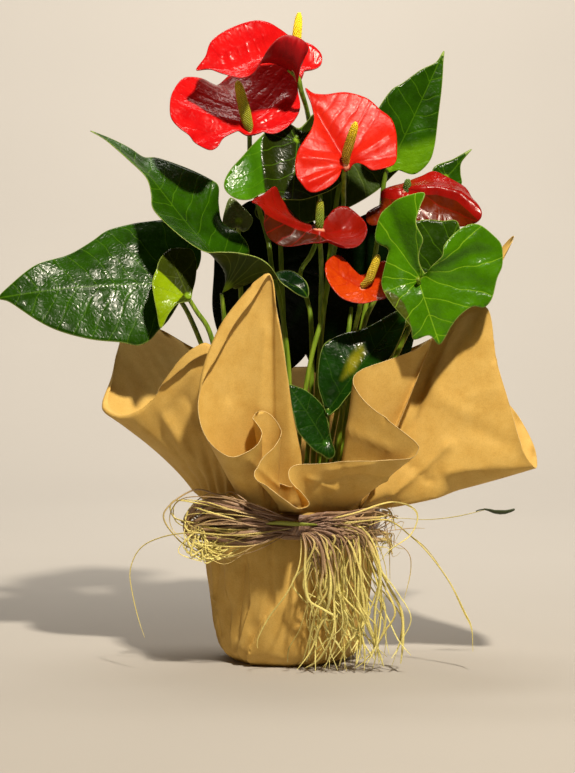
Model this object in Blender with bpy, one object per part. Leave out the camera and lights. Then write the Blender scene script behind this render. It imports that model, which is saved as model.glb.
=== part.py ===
"""A potted red anthurium in a kraft paper wrap with a raffia bow.

All sizes are in millimetres until a mesh is made, and the meshes are in metres, +Z up. The origin is the
centre of the wrap's flat base, X is to the right and Y away from the front. Leaves, blooms, stems and paper
edges are given by points (x, z, y): x and z as they look from the front viewpoint on the plane through the
pot's axis, and y the depth, which is what makes the shape solid. The pot, the wrap's neck and the tie use
true positions (x, y, z).
"""

import math
import random

import bmesh
import bpy
from mathutils import Vector
from mathutils.bvhtree import BVHTree
from mathutils.geometry import delaunay_2d_cdt

MM = 0.001

# Viewpoint that the (x, z, y) points are seen from
EYE_X = 7.0
EYE_Z = 454.0
EYE_DISTANCE = 2587.0

# Kraft paper wrap
PAPER = 0.8
BASE_R = 50.0
NECK_Z = 157.0
NECK_R = 83.0
PLEATS = 13
PLEAT_DEPTH = 1.1
NECK_PLEAT = 0.6
COLLAR_ROWS = 4
COLLAR_BEND = 0.35
COLLAR_RISE = 0.3
COLLAR_LIFT = 16.0
RUFFLE_ROWS = 5
RUFFLE_BEND = 0.4
RUFFLE_FOOT_Z = 156.0
RUFFLE_SWELL = 7.0
RUFFLE_LIFT = 5.0

# The wrap's wall from the middle of its base to its neck: radius, height and share of the pleats' depth
BAG = [(BASE_R * 0.5, PAPER / 2, 0.0), (BASE_R, PAPER / 2, 0.0), (62.0, 8.0, 0.4), (69.5, 22.0, 0.8),
       (77.5, 66.0, 1.0), (83.2, 119.0, 1.0), (NECK_R, NECK_Z, NECK_PLEAT)]

# Nursery pot and soil
POT_WALL = 1.6
POT_FOOT_Z = 1.2
POT_RIM_Z = 146.0
POT_RIM_R = 80.3
POT_FOOT_R = 46.0
POT_BEVEL = (12.0, 9.0)
POT_HEEL = (18.0, 20.0)
POT_LIP_OUT = 3.5
POT_LIP_HEIGHT = 12.0
POT_SIDES = 32
SOIL_TOP_Z = 132.0
SOIL_CROWN = 2.0
SOIL_SLOPE_DROP = 3.0
SOIL_SLOPE_WIDTH = 10.0
SOIL_GAP = 0.35
ROOT_Z = 114.0
HOLE_TOP_Z = 152.0

# Raffia tie
BAND_Z = 142.5
BAND_HEIGHT = 25.0
BAND_DEPTH = 9.0
BAND_INNER_R = 84.9
BAND_GROOVE = 0.9
BAND_WAVE = 1.2
BAND_TURNS = 32
BAND_SIDES = 10
LOOP_R = 1.9
LOOSE_R = 1.1
TAIL_R = 1.3
STRAND_FLATNESS = 0.55

# Plant
BLADE = 0.9
SPATHE = 0.9
STALK_R = 2.4
PETIOLE_R = 2.5
STEM_SIDES = 6
SPADIX_SIDES = 8
HOLE_GAP = 0.5
SEAT_GAP = 0.3
SEAT_STEP = 0.05
SEAT_LIMIT = 4.0
SEAT_CHECKS = 12
SEAT_LEAD = 3.0

# Mesh density
EDGE_STEP = 26.0
PAPER_STEP = 34.0
RUFFLE_STEP = 17.0
BLADE_STEP = 17.0
BLADE_RINGS = 40
RIM_CLEARANCE = 0.45
STEM_STEP = 38.0
STRAND_STEP = 30.0


def seen(point):
    """The true place of a point (x, z, y) that is given as it looks from the viewpoint."""
    x, z, y = point[:3]
    k = 1.0 + y / EYE_DISTANCE
    return Vector((EYE_X + (x - EYE_X) * k, y, EYE_Z + (z - EYE_Z) * k))


def catmull(p0, p1, p2, p3, t):
    """A point on the smooth curve between p1 and p2."""
    a = 2.0 * p1
    b = p2 - p0
    c = 2.0 * p0 - 5.0 * p1 + 4.0 * p2 - p3
    d = 3.0 * (p1 - p2) + p3 - p0
    return 0.5 * (a + b * t + c * t * t + d * t * t * t)


def smooth(points, step, closed, extra=None):
    """Points about step apart on a smooth curve through the given ones, with extra values carried along."""
    count = len(points)
    spans = count if closed else count - 1
    out, carried = [], []
    for i in range(spans):
        ends = [i - 1, i, i + 1, i + 2]
        if closed:
            ends = [e % count for e in ends]
        else:
            ends = [min(max(e, 0), count - 1) for e in ends]
        p = [points[e] for e in ends]
        pieces = max(1, round((p[2] - p[1]).length / step))
        for k in range(pieces):
            t = k / pieces
            out.append(catmull(*p, t))
            if extra:
                carried.append(extra[ends[1]] * (1 - t) + extra[ends[2]] * t)
    if not closed:
        out.append(points[-1].copy())
        if extra:
            carried.append(extra[-1])
    return (out, carried) if extra else out


def material(name, colour, roughness):
    """A plain Principled material, made once; colour is sRGB hex."""
    found = bpy.data.materials.get(name)
    if found:
        return found
    made = bpy.data.materials.new(name)
    made.use_nodes = True
    shader = made.node_tree.nodes["Principled BSDF"]
    linear = [(int(colour[i:i + 2], 16) / 255) ** 2.2 for i in (0, 2, 4)]
    shader.inputs["Base Color"].default_value = (*linear, 1.0)
    shader.inputs["Roughness"].default_value = roughness
    return made


def mesh_object(name, points, faces, finish):
    """An object from points in millimetres."""
    mesh = bpy.data.meshes.new(name)
    mesh.from_pydata([tuple(p * MM) for p in points], [], faces)
    mesh.shade_smooth()
    mesh.set_sharp_from_angle(angle=math.radians(50))
    mesh.materials.append(finish)
    made = bpy.data.objects.new(name, mesh)
    bpy.context.scene.collection.objects.link(made)
    return made


def thickened(name, points, triangles, thickness, finish, flat=()):
    """A closed sheet from an open surface, with the same triangles on both of its faces.

    The points in flat are thickened straight down to Z = 0 there, for a base that lies on a table.
    """
    normals = [Vector() for _ in points]
    for a, b, c in triangles:
        n = (points[b] - points[a]).cross(points[c] - points[a])
        for i in (a, b, c):
            normals[i] += n
    for i, n in enumerate(normals):
        normals[i] = Vector((0, 0, 1)) if i in flat else n.normalized()
    top = [p + n * thickness / 2 for p, n in zip(points, normals)]
    bottom = [p - n * thickness / 2 for p, n in zip(points, normals)]
    count = len(points)
    edges = {(t[i], t[(i + 1) % 3]) for t in triangles for i in range(3)}
    faces = list(triangles) + [(c + count, b + count, a + count) for a, b, c in triangles]
    for a, b in edges:
        if (b, a) not in edges:
            faces += [(b, a, a + count), (b, a + count, b + count)]
    return mesh_object(name, top + bottom, faces, finish)


def mean_value(place, outline, values):
    """The value at a place inside a 2D outline that blends the values given round it."""
    gaps = [o - place for o in outline]
    far = [max(g.length, 1e-6) for g in gaps]
    count, total, weight = len(outline), 0.0, 0.0
    halves = []
    for i in range(count):
        j = (i + 1) % count
        cross = gaps[i].x * gaps[j].y - gaps[i].y * gaps[j].x
        halves.append(math.tan(math.atan2(cross, gaps[i].dot(gaps[j])) / 2))
    for i in range(count):
        w = (halves[i - 1] + halves[i]) / far[i]
        total += w * values[i]
        weight += w
    return total / weight


def rim_distance(place, outline):
    """How far a place is from a closed 2D outline."""
    nearest = 1e9
    for i, a in enumerate(outline):
        b = outline[(i + 1) % len(outline)]
        t = max(0.0, min(1.0, (place - a).dot(b - a) / max((b - a).length_squared, 1e-9)))
        nearest = min(nearest, (place - a.lerp(b, t)).length)
    return nearest


def inside(place, outline):
    """True where a place lies inside a closed 2D outline."""
    found = False
    for i, a in enumerate(outline):
        b = outline[i - 1]
        if (a.y > place.y) != (b.y > place.y):
            if place.x < (b.x - a.x) * (place.y - a.y) / (b.y - a.y) + a.x:
                found = not found
    return found


def blade(hub, rim, droop, step):
    """The open surface of a leaf or spathe over its own plane, with its points and triangles.

    The rim is followed exactly, and points in rings round the hub fill it. Their heights blend those of the
    rim, level out to the hub, and sag by droop halfway between them.
    """
    count = len(rim)
    face = sum(((rim[i - 1] - hub).cross(rim[i] - hub) for i in range(count)), Vector()).normalized()
    first = (rim[0] - hub - face * face.dot(rim[0] - hub)).normalized()
    side = face.cross(first)
    flat = [Vector(((r - hub).dot(first), (r - hub).dot(side))) for r in rim]
    heights = [(r - hub).dot(face) for r in rim]
    centre = Vector((0.0, 0.0))
    lift = mean_value(centre, flat, heights)
    spots = [centre]
    for ring in range(1, BLADE_RINGS):
        for k in range(6 * ring):
            turn = 2 * math.pi * (k + 0.5 * (ring % 2)) / (6 * ring)
            spot = Vector((math.cos(turn), math.sin(turn))) * ring * step
            if inside(spot, flat) and rim_distance(spot, flat) > RIM_CLEARANCE * step:
                spots.append(spot)
    points = list(rim)
    for spot in spots:
        near, out = rim_distance(spot, flat), spot.length
        part = out / (out + near)
        height = mean_value(spot, flat, heights) - lift * (1 - part) ** 2
        sag = Vector((0, 0, -droop)) * 4 * part * (1 - part)
        points.append(hub + first * spot.x + side * spot.y + face * height + sag)
    outline = list(range(count))
    places, _, triangles, *_ = delaunay_2d_cdt(flat + spots, [], [outline], 1, 1e-4)
    assert len(places) == len(points), "an outline crosses itself in its plane"
    return points, [tuple(t) for t in triangles]


def hub_normal(points, triangles, hub, towards):
    """The surface's mean normal at its hub, on the side of a point."""
    total = Vector()
    for a, b, c in triangles:
        if hub in (a, b, c):
            total += (points[b] - points[a]).cross(points[c] - points[a])
    total.normalize()
    return total if total.dot(towards - points[hub]) > 0 else -total


def seat_on(surface, hub, way, radius, thickness):
    """Where the middle of a round end lies along way from the hub, to clear a sheet by SEAT_GAP."""
    side = way.orthogonal().normalized()
    other = way.cross(side)
    turns = [2 * math.pi * k / SEAT_CHECKS for k in range(SEAT_CHECKS)]
    ring = [hub + (side * math.cos(t) + other * math.sin(t)) * radius for t in turns] + [hub]
    need = thickness / 2 + SEAT_GAP
    away = need
    while away < SEAT_LIMIT:
        clear = True
        for p in ring:
            place, normal, _, _ = surface.find_nearest(p + way * away)
            facing = normal if normal.dot(way) > 0 else -normal
            clear = clear and (p + way * away - place).dot(facing) >= need
        if clear:
            break
        away += SEAT_STEP
    return hub + way * away


def tube(name, path, radii, sides, finish, flatten=1.0):
    """A closed tube with round or flattened section along a list of points."""
    points, faces = [], []
    side = None
    for i, p in enumerate(path):
        ahead = (path[min(i + 1, len(path) - 1)] - path[max(i - 1, 0)]).normalized()
        if side is None:
            side = ahead.orthogonal().normalized()
        side = (side - ahead * side.dot(ahead)).normalized()
        other = ahead.cross(side)
        r = radii[i] if isinstance(radii, list) else radii
        for k in range(sides):
            turn = 2 * math.pi * k / sides
            points.append(p + (side * math.cos(turn) + other * math.sin(turn) * flatten) * r)
    for i in range(len(path) - 1):
        for k in range(sides):
            a, b = i * sides + k, i * sides + (k + 1) % sides
            faces += [(a, b, b + sides), (a, b + sides, a + sides)]
    last = (len(path) - 1) * sides
    faces.append(tuple(range(sides - 1, -1, -1)))
    faces.append(tuple(range(last, last + sides)))
    return mesh_object(name, points, faces, finish)


def boolean(target, others, operation, solver="EXACT"):
    """Joins or cuts target with the others for good, and removes them."""
    tools = bpy.data.collections.new("tools")
    for o in others:
        tools.objects.link(o)
    cut = target.modifiers.new("boolean", "BOOLEAN")
    cut.operation = operation
    cut.operand_type = "COLLECTION"
    cut.collection = tools
    cut.solver = solver
    depsgraph = bpy.context.evaluated_depsgraph_get()
    result = bpy.data.meshes.new_from_object(target.evaluated_get(depsgraph))
    old = target.data
    target.modifiers.clear()
    target.data = result
    bpy.data.meshes.remove(old)
    for o in others:
        bpy.data.objects.remove(o)
    bpy.data.collections.remove(tools)
    drop_scraps(target.data)
    return target


def drop_scraps(mesh):
    """Keeps a mesh's largest connected piece only."""
    work = bmesh.new()
    work.from_mesh(mesh)
    left, pieces = set(work.verts), []
    while left:
        piece, edge = set(), {next(iter(left))}
        while edge:
            piece |= edge
            edge = {e.other_vert(v) for v in edge for e in v.link_edges} - piece
        left -= piece
        pieces.append(piece)
    largest = max(pieces, key=len)
    loose = [v for piece in pieces if piece is not largest for v in piece]
    bmesh.ops.delete(work, geom=loose, context="VERTS")
    work.to_mesh(mesh)
    work.free()


def lathe(name, profile, sides, finish):
    """A closed turned solid from a profile of (radius, z) that starts and ends on the axis."""
    points = [Vector((0, 0, profile[0][1]))]
    rows = profile[1:-1]
    for r, z in rows:
        for k in range(sides):
            turn = 2 * math.pi * k / sides
            points.append(Vector((r * math.cos(turn), r * math.sin(turn), z)))
    points.append(Vector((0, 0, profile[-1][1])))
    faces = [(0, 1 + (k + 1) % sides, 1 + k) for k in range(sides)]
    for row in range(len(rows) - 1):
        a, b = 1 + row * sides, 1 + (row + 1) * sides
        for k in range(sides):
            n = (k + 1) % sides
            faces.append((a + k, a + n, b + n, b + k))
    a, end = 1 + (len(rows) - 1) * sides, len(points) - 1
    faces += [(a + k, a + (k + 1) % sides, end) for k in range(sides)]
    return mesh_object(name, points, faces, finish)


# Blooms: the hub is where spathe, stalk and spadix meet, the rim starts at the tip of the spathe
BLOOMS = {
    "flower_1": {
        "hub": (4, 588, -12),
        "rim": [
            (-92, 587, -30), (-83, 600, -22), (-77, 615, -10), (-60, 627, 2), (-37, 635, 12), (-22, 634, 18),
            (-9, 627, 22), (4, 618, 26), (17, 614, 30), (25, 610, 30), (32, 602, 28), (32, 593, 24),
            (26, 588, 18), (16, 587, 8), (14, 583, -2), (10, 581, -10), (11, 589, -22), (15, 598, -32),
            (19, 608, -40), (14, 616, -43), (2, 621, -45), (-9, 619, -47), (-19, 610, -50), (-27, 596, -52),
            (-35, 584, -50), (-47, 579, -46), (-65, 583, -42), (-80, 588, -36)],
        "droop": 14,
        "spadix": ((5, 593, -14), (10, 643, 4), 4.6),
        "stalk": [(9, 579, -14), (12, 566, -8), (17, 550, 8), (21, 530, 27), (26, 500, 32), (31, 459, 32),
                  (31, 430, 26), (22, 405, 17), (11, 386, 9), (17, 363, 0), (22, 335, -6), (22, 260, -8),
                  (16, 180, -6), (12, 140, -4)],
    },
    "flower_2": {
        "hub": (-39, 527, 5),
        "rim": [
            (-69, 573, 60), (-52, 587, 66), (-25, 597, 62), (-5, 595, 52), (7, 584, 40), (9, 565, 24),
            (11, 550, 12), (5, 537, 0), (-7, 527, -8), (-17, 524, -10), (-28, 526, -6), (-35, 525, -3),
            (-43, 524, -4), (-50, 527, -10), (-64, 521, -20), (-71, 511, -26), (-79, 508, -30),
            (-91, 514, -34), (-98, 522, -34), (-109, 530, -32), (-117, 540, -26), (-118, 554, -18),
            (-115, 566, -6), (-106, 578, 8), (-96, 580, 20), (-85, 578, 34), (-75, 573, 48)],
        "droop": 4,
        "spadix": ((-40, 530, 0), (-51, 576, -12), 5.5),
        "stalk": [(-38, 489, 20), (-31, 454, 21), (-21, 419, 9), (-17, 391, -2), (-9, 359, -14),
                  (-1, 299, -18), (2, 220, -16), (0, 140, -14)],
    },
    "flower_3": {
        "hub": (56, 496, -46),
        "rim": [
            (16, 569, -22), (24, 564, -20), (37, 563, -18), (56, 565, -16), (77, 559, -17), (90, 548, -20),
            (101, 539, -24), (106, 525, -30), (107, 504, -42), (105, 495, -48), (98, 491, -52),
            (83, 488, -53), (74, 493, -50), (66, 494, -46), (58, 489, -43), (53, 488, -47), (51, 484, -52),
            (46, 477, -58), (37, 470, -62), (25, 466, -64), (18, 468, -64), (12, 475, -63), (7, 483, -61),
            (6, 496, -56), (9, 508, -50), (15, 518, -44), (22, 529, -38), (25, 541, -32), (22, 553, -27)],
        "droop": 3,
        "spadix": ((55, 498, -50), (66, 535, -74), 4.5),
        "stalk": [(54, 470, -16), (54, 454, 4), (50, 430, 8), (44, 405, -6), (41, 389, -18), (37, 366, -28),
                  (32, 339, -36), (22, 301, -41), (12, 240, -39), (8, 190, -36), (6, 140, -34)],
    },
    "flower_4": {
        "hub": (30, 428, -42),
        "rim": [
            (-39, 455, -62), (-26, 464, -50), (-14, 472, -40), (-8, 461, -36), (0, 449, -33), (9, 437, -32),
            (20, 432, -30), (31, 434, -28), (38, 443, -22), (46, 451, -17), (56, 453, -15), (66, 448, -17),
            (75, 439, -24), (77, 429, -34), (73, 419, -46), (66, 413, -56), (56, 412, -60), (46, 415, -62),
            (36, 420, -63), (26, 419, -63), (12, 414, -62), (-6, 413, -61), (-19, 420, -62), (-25, 432, -64),
            (-28, 444, -64)],
        "droop": 6,
        "spadix": ((30, 431, -46), (31, 459, -50), 4.0),
        "stalk": [(32, 389, -18), (31, 313, -13), (32, 259, -17), (30, 200, -19), (28, 140, -20)],
    },
    "flower_5": {
        "hub": (73, 372, -56),
        "rim": [
            (37, 397, -58), (46, 404, -50), (54, 401, -46), (65, 389, -47), (73, 384, -48), (84, 392, -45),
            (93, 398, -46), (103, 396, -52), (108, 386, -60), (106, 372, -67), (97, 362, -72),
            (87, 359, -76), (71, 356, -78), (53, 361, -76), (41, 374, -71), (36, 386, -65)],
        "droop": 4,
        "spadix": ((78, 376, -61), (89, 404, -68), 4.0),
        "stalk": [(70, 350, -38), (65, 328, -26), (58, 290, -20), (50, 220, -20), (44, 140, -18)],
    },
    "flower_6": {
        "hub": (115, 458, 2),
        "rim": [
            (77, 445, -6), (93, 450, 2), (104, 462, 10), (121, 476, 14), (132, 482, 16), (143, 487, 16),
            (155, 482, 16), (170, 473, 14), (177, 466, 10), (180, 455, 4), (187, 435, -8), (170, 432, -12),
            (150, 434, -15), (131, 437, -17), (112, 442, -12), (96, 436, -14), (80, 434, -12)],
        "droop": -6,
        "spadix": ((116, 462, -2), (118, 479, -8), 4.0),
        "stalk": [(112, 425, 14), (106, 395, 14), (83, 355, 4), (74, 332, -2), (62, 270, -4), (50, 200, -4),
                  (42, 140, -2)],
    },
}

# Spadix from foot to tip: how far along it, and its radius as a part of the widest
SPADIX_SHAPE = [(0.0, 0.42), (0.04, 0.6), (0.14, 0.92), (0.35, 1.0), (0.55, 0.94), (0.75, 0.84), (0.9, 0.68),
                (1.0, 0.34)]
SPADIX_LEAD = 1.2

# Leaves: the hub is where the petiole meets the blade, the rim starts at the blade's tip
LEAVES = {
    "leaf_01": {
        "hub": (-114, 367, -5),
        "rim": [
            (-289, 361, -30), (-280, 372, -26), (-252, 394, -15), (-220, 404, 0), (-197, 417, 10),
            (-181, 428, 18), (-160, 434, 26), (-142, 437, 30), (-118, 438, 32), (-98, 428, 30),
            (-88, 410, 24), (-90, 392, 14), (-102, 377, 4), (-106, 364, -4), (-112, 352, -14),
            (-121, 338, -22), (-130, 329, -28), (-139, 319, -32), (-151, 314, -34), (-167, 317, -36),
            (-197, 320, -38), (-228, 328, -38), (-251, 339, -36), (-278, 357, -32)],
        "droop": -9,
        "petiole": [(-100, 345, 4), (-82, 300, 14), (-62, 230, 16), (-50, 170, 14), (-50, 140, 14)],
    },
    "leaf_02": {
        "hub": (-67, 366, -30),
        "rim": [
            (-197, 527, 20), (-182, 518, 14), (-159, 498, 0), (-142, 481, -12), (-137, 465, -22),
            (-136, 452, -32), (-128, 441, -42), (-113, 427, -52), (-96, 414, -56), (-82, 407, -66),
            (-67, 407, -70), (-49, 406, -68), (-30, 401, -76), (-18, 392, -76), (-9, 378, -62),
            (0, 371, -64), (10, 364, -56), (19, 362, -52), (18, 376, -50), (7, 386, -40), (-3, 389, -40),
            (-14, 386, -38), (-35, 378, -22), (-55, 371, -12), (-44, 390, -8), (-40, 410, 10),
            (-50, 426, 10), (-66, 436, 18), (-70, 455, 20), (-70, 472, 22), (-78, 479, 23), (-101, 490, 26),
            (-130, 500, 26), (-144, 501, 24), (-158, 510, 23), (-176, 519, 22)],
        "droop": 4,
        "petiole": [(-65, 345, -24), (-63, 325, -18), (-52, 280, -10), (-40, 210, -6), (-30, 170, -6),
                    (-30, 140, -6)],
    },
    "leaf_03": {
        "hub": (-101, 363, -36),
        "rim": [
            (-122, 408, -22), (-113, 411, -18), (-104, 411, -16), (-96, 409, -16), (-92, 396, -20),
            (-93, 380, -26), (-96, 368, -33), (-98, 359, -40), (-105, 357, -45), (-112, 355, -49),
            (-120, 345, -53), (-128, 331, -55), (-132, 349, -53), (-135, 365, -51), (-136, 378, -47),
            (-132, 390, -41), (-129, 399, -34)],
        "droop": 0,
        "petiole": [(-92, 348, -34), (-79, 327, -33), (-68, 280, -36), (-60, 220, -36), (-53, 170, -32),
                    (-52, 140, -30)],
    },
    "leaf_04": {
        "hub": (-50, 436, 34),
        "rim": [
            (-58, 461, 40), (-64, 448, 38), (-66, 434, 35), (-60, 428, 32), (-52, 431, 32), (-46, 427, 32),
            (-40, 430, 33), (-36, 440, 36), (-46, 452, 39)],
        "droop": -2,
        "petiole": [(-50, 420, 37), (-46, 330, 34), (-36, 200, 30), (-34, 140, 28)],
    },
    "leaf_05": {
        "hub": (8, 522, 8),
        "rim": [
            (3, 459, -32), (-13, 460, -35), (-28, 462, -37), (-39, 459, -37), (-49, 459, -36),
            (-58, 463, -34), (-64, 470, -31), (-64, 478, -27), (-58, 489, -21), (-48, 500, -14),
            (-34, 515, -6), (-22, 526, 1), (-10, 532, 7), (0, 534, 11), (9, 530, 13), (17, 536, 14),
            (26, 544, 14), (42, 536, 12), (54, 520, 6), (60, 500, -2), (56, 482, -10), (44, 470, -18),
            (28, 463, -24), (14, 459, -29)],
        "droop": 5,
        "petiole": [(0, 500, 22), (-8, 450, 31), (-8, 400, 30), (-6, 350, 24), (-2, 240, 20), (0, 140, 18)],
    },
    "leaf_06": {
        "hub": (60, 500, 52),
        "rim": [
            (-34, 448, 52), (-24, 436, 48), (1, 432, 45), (31, 440, 43), (61, 452, 42), (86, 467, 42),
            (102, 482, 43), (112, 494, 46), (104, 508, 52), (86, 520, 58), (68, 520, 60), (58, 510, 58),
            (46, 520, 61), (26, 514, 62), (2, 492, 60), (-20, 470, 56)],
        "droop": -4,
        "petiole": [(52, 480, 40), (46, 450, 34), (40, 400, 34), (30, 300, 26), (24, 200, 24), (24, 140, 24)],
    },
    "leaf_07": {
        "hub": (99, 494, 28),
        "rim": [
            (154, 606, 45), (146, 595, 42), (130, 587, 38), (112, 574, 34), (102, 568, 30), (92, 555, 26),
            (84, 540, 22), (80, 520, 20), (84, 503, 22), (93, 494, 26), (99, 486, 28), (108, 488, 29),
            (124, 484, 29), (138, 495, 31), (144, 511, 34), (148, 543, 38), (151, 568, 41), (153, 592, 44)],
        "droop": 3,
        "petiole": [(94, 475, 34), (88, 420, 37), (70, 320, 33), (48, 220, 28), (42, 140, 26)],
    },
    "leaf_08": {
        "hub": (155, 482, 40),
        "rim": [
            (181, 509, 46), (162, 499, 44), (146, 493, 40), (142, 486, 38), (148, 477, 38), (154, 475, 39),
            (160, 468, 40), (171, 474, 42), (170, 485, 44), (171, 496, 45)],
        "droop": 2,
        "petiole": [(152, 460, 46), (132, 380, 50), (92, 280, 44), (66, 200, 32), (58, 140, 28)],
    },
    "leaf_09": {
        "hub": (128, 381, -92),
        "rim": [
            (150, 315, -90), (140, 324, -92), (124, 320, -92), (121, 333, -97), (112, 344, -97),
            (104, 353, -96), (95, 366, -92), (92, 375, -86), (93, 384, -83), (97, 401, -81), (98, 410, -80),
            (86, 418, -80), (87, 433, -80), (91, 445, -82), (100, 454, -84), (111, 461, -87),
            (134, 466, -90), (130, 452, -95), (126, 436, -97), (133, 420, -96), (130, 410, -93),
            (128, 399, -91), (130, 389, -91), (135, 385, -93), (143, 393, -97), (151, 403, -99),
            (153, 413, -98), (163, 425, -92), (175, 433, -86), (183, 435, -84), (191, 433, -82),
            (202, 424, -80), (211, 413, -80), (212, 394, -84), (207, 381, -88), (202, 361, -90),
            (194, 352, -90), (183, 353, -92), (171, 345, -94), (162, 334, -93)],
        "droop": 0,
        "petiole": [(130, 374, -78), (134, 366, -60), (130, 350, -28), (104, 320, 0), (84, 270, 6),
                    (66, 200, 4), (56, 140, 2)],
    },
    "leaf_10": {
        "hub": (146, 386, -36),
        "rim": [
            (168, 436, -32), (152, 438, -30), (133, 439, -31), (119, 432, -33), (113, 410, -36),
            (118, 394, -38), (128, 382, -40), (144, 374, -42), (160, 384, -40), (170, 404, -36)],
        "droop": 2,
        "petiole": [(142, 372, -22), (124, 340, 8), (92, 270, 20), (68, 200, 18), (60, 140, 16)],
    },
    "leaf_11": {
        "hub": (39, 252, -54),
        "rim": [
            (114, 352, -36), (104, 348, -33), (88, 338, -33), (72, 330, -34), (55, 326, -38), (41, 320, -42),
            (33, 312, -46), (29, 292, -50), (29, 274, -54), (33, 260, -56), (38, 245, -57), (47, 250, -60),
            (58, 264, -61), (81, 289, -59), (99, 300, -55), (111, 322, -49), (116, 339, -42)],
        "droop": 4,
        "petiole": [(38, 236, -50), (35, 190, -44), (32, 140, -38)],
    },
    "leaf_12": {
        "hub": (36, 214, -64),
        "rim": [
            (-1, 274, -60), (8, 273, -59), (17, 269, -57), (27, 261, -55), (35, 251, -54), (39, 236, -56),
            (42, 220, -61), (46, 206, -66), (40, 200, -69), (32, 205, -70), (25, 209, -71), (14, 221, -71),
            (8, 230, -70), (5, 243, -68), (1, 258, -64)],
        "droop": -3,
        "petiole": [(34, 198, -59), (26, 165, -51), (20, 140, -46)],
    },
    "leaf_13": {
        "hub": (-20, 385, 62),
        "rim": [
            (-20, 282, 80), (-44, 292, 78), (-66, 316, 74), (-76, 348, 70), (-75, 384, 66), (-72, 416, 68),
            (-58, 442, 72), (-38, 458, 74), (-18, 452, 74), (0, 458, 76), (18, 448, 74), (30, 420, 72),
            (33, 384, 72), (30, 348, 74), (22, 314, 77), (4, 292, 80)],
        "droop": -5,
        "petiole": [(-20, 368, 54), (-18, 300, 50), (-15, 200, 44), (-14, 140, 40)],
    },
    "leaf_14": {
        "hub": (62, 352, 78),
        "rim": [
            (62, 262, 98), (92, 272, 94), (116, 296, 90), (126, 330, 88), (128, 366, 86), (124, 404, 86),
            (108, 434, 88), (84, 446, 90), (62, 440, 88), (40, 448, 88), (22, 430, 87), (10, 396, 87),
            (6, 352, 90), (14, 312, 93), (34, 276, 97)],
        "droop": -5,
        "petiole": [(60, 335, 70), (50, 260, 62), (36, 190, 50), (30, 140, 44)],
    },
}

# Flared rim of the wrap, from the front round the right, back and left: point, and neck angle in degrees
COLLAR = [
    ((0, 172, -92), 270), ((40, 176, -90), 292), ((72, 186, -80), 305), ((90, 228, -56), 311),
    ((116, 290, -36), 317), ((170, 344, -24), 325), ((197, 350, -56), 329), ((206, 299, -66), 331),
    ((219, 255, -72), 334), ((232, 211, -82), 337), ((244, 192, -82), 341), ((247, 196, -64), 346),
    ((243, 215, -30), 352), ((228, 243, -4), 358), ((206, 272, 24), 5), ((190, 310, 48), 12),
    ((190, 350, 62), 17), ((206, 386, 70), 20), ((223, 422, 76), 22), ((204, 402, 88), 27),
    ((176, 360, 104), 36),
    ((140, 320, 122), 50), ((80, 300, 138), 68), ((0, 292, 145), 90), ((-80, 305, 134), 112),
    ((-130, 330, 104), 132), ((-160, 332, 70), 148), ((-170, 310, 40), 160), ((-176, 281, 16), 168),
    ((-185, 256, -8), 176), ((-183, 246, -26), 182), ((-168, 240, -42), 188), ((-152, 244, -52), 193),
    ((-139, 253, -56), 198), ((-131, 266, -60), 203), ((-117, 286, -66), 209), ((-106, 300, -70), 215),
    ((-92, 311, -74), 221), ((-78, 313, -76), 227), ((-62, 285, -76), 234), ((-52, 235, -78), 242),
    ((-36, 190, -86), 254),
]

# Ruffled front edge of the wrap, from the tall lobe's right side to the cone: point, and foot (x, y) in it
RUFFLE = [
    ((12, 205, -92), (14, -77)), ((4, 244, -104), (8, -78)), ((-1, 279, -114), (2, -78)),
    ((-7, 319, -120), (-4, -78)), ((-13, 352, -121), (-10, -78)), ((-19, 383, -119), (-15, -78)),
    ((-39, 369, -117), (-20, -78)),
    ((-64, 339, -115), (-26, -76)), ((-77, 314, -116), (-30, -74)), ((-86, 289, -118), (-34, -72)),
    ((-90, 264, -121), (-38, -71)), ((-90, 244, -126), (-41, -72)), ((-84, 224, -132), (-40, -75)),
    ((-71, 209, -136), (-36, -77)), ((-57, 202, -137), (-32, -78)), ((-44, 206, -135), (-29, -79)),
    ((-32, 214, -131), (-26, -80)), ((-27, 226, -125), (-24, -80)), ((-32, 236, -117), (-22, -80)),
    ((-36, 243, -111), (-20, -80)), ((-30, 249, -105), (-17, -80)), ((-18, 244, -103), (-14, -80)),
    ((-8, 228, -108), (-11, -81)), ((-14, 213, -120), (-9, -82)), ((-25, 202, -130), (-8, -83)),
    ((-34, 189, -136), (-7, -83)), ((-33, 180, -139), (-5, -83)), ((-22, 173, -142), (-2, -83)),
    ((-5, 160, -146), (2, -83)), ((9, 151, -148), (6, -83)), ((20, 155, -146), (9, -82)),
    ((12, 167, -138), (12, -82)), ((2, 177, -130), (15, -81)), ((0, 188, -124), (18, -81)),
    ((8, 194, -118), (22, -80)), ((30, 195, -114), (30, -78)), ((61, 198, -112), (40, -74)),
    ((95, 199, -114), (50, -69)), ((121, 201, -118), (56, -65)), ((128, 208, -119), (58, -63)),
    ((126, 217, -119), (58, -61)), ((94, 242, -112), (54, -60)), ((76, 257, -106), (48, -61)),
    ((66, 271, -98), (44, -62)), ((64, 281, -88), (42, -60)), ((72, 289, -78), (44, -56)),
    ((91, 296, -70), (50, -53)), ((126, 309, -62), (60, -48)), ((141, 318, -58), (66, -44)),
    ((131, 290, -60), (69, -45)), ((120, 262, -64), (70, -47)), ((108, 233, -70), (71, -49)),
]


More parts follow.
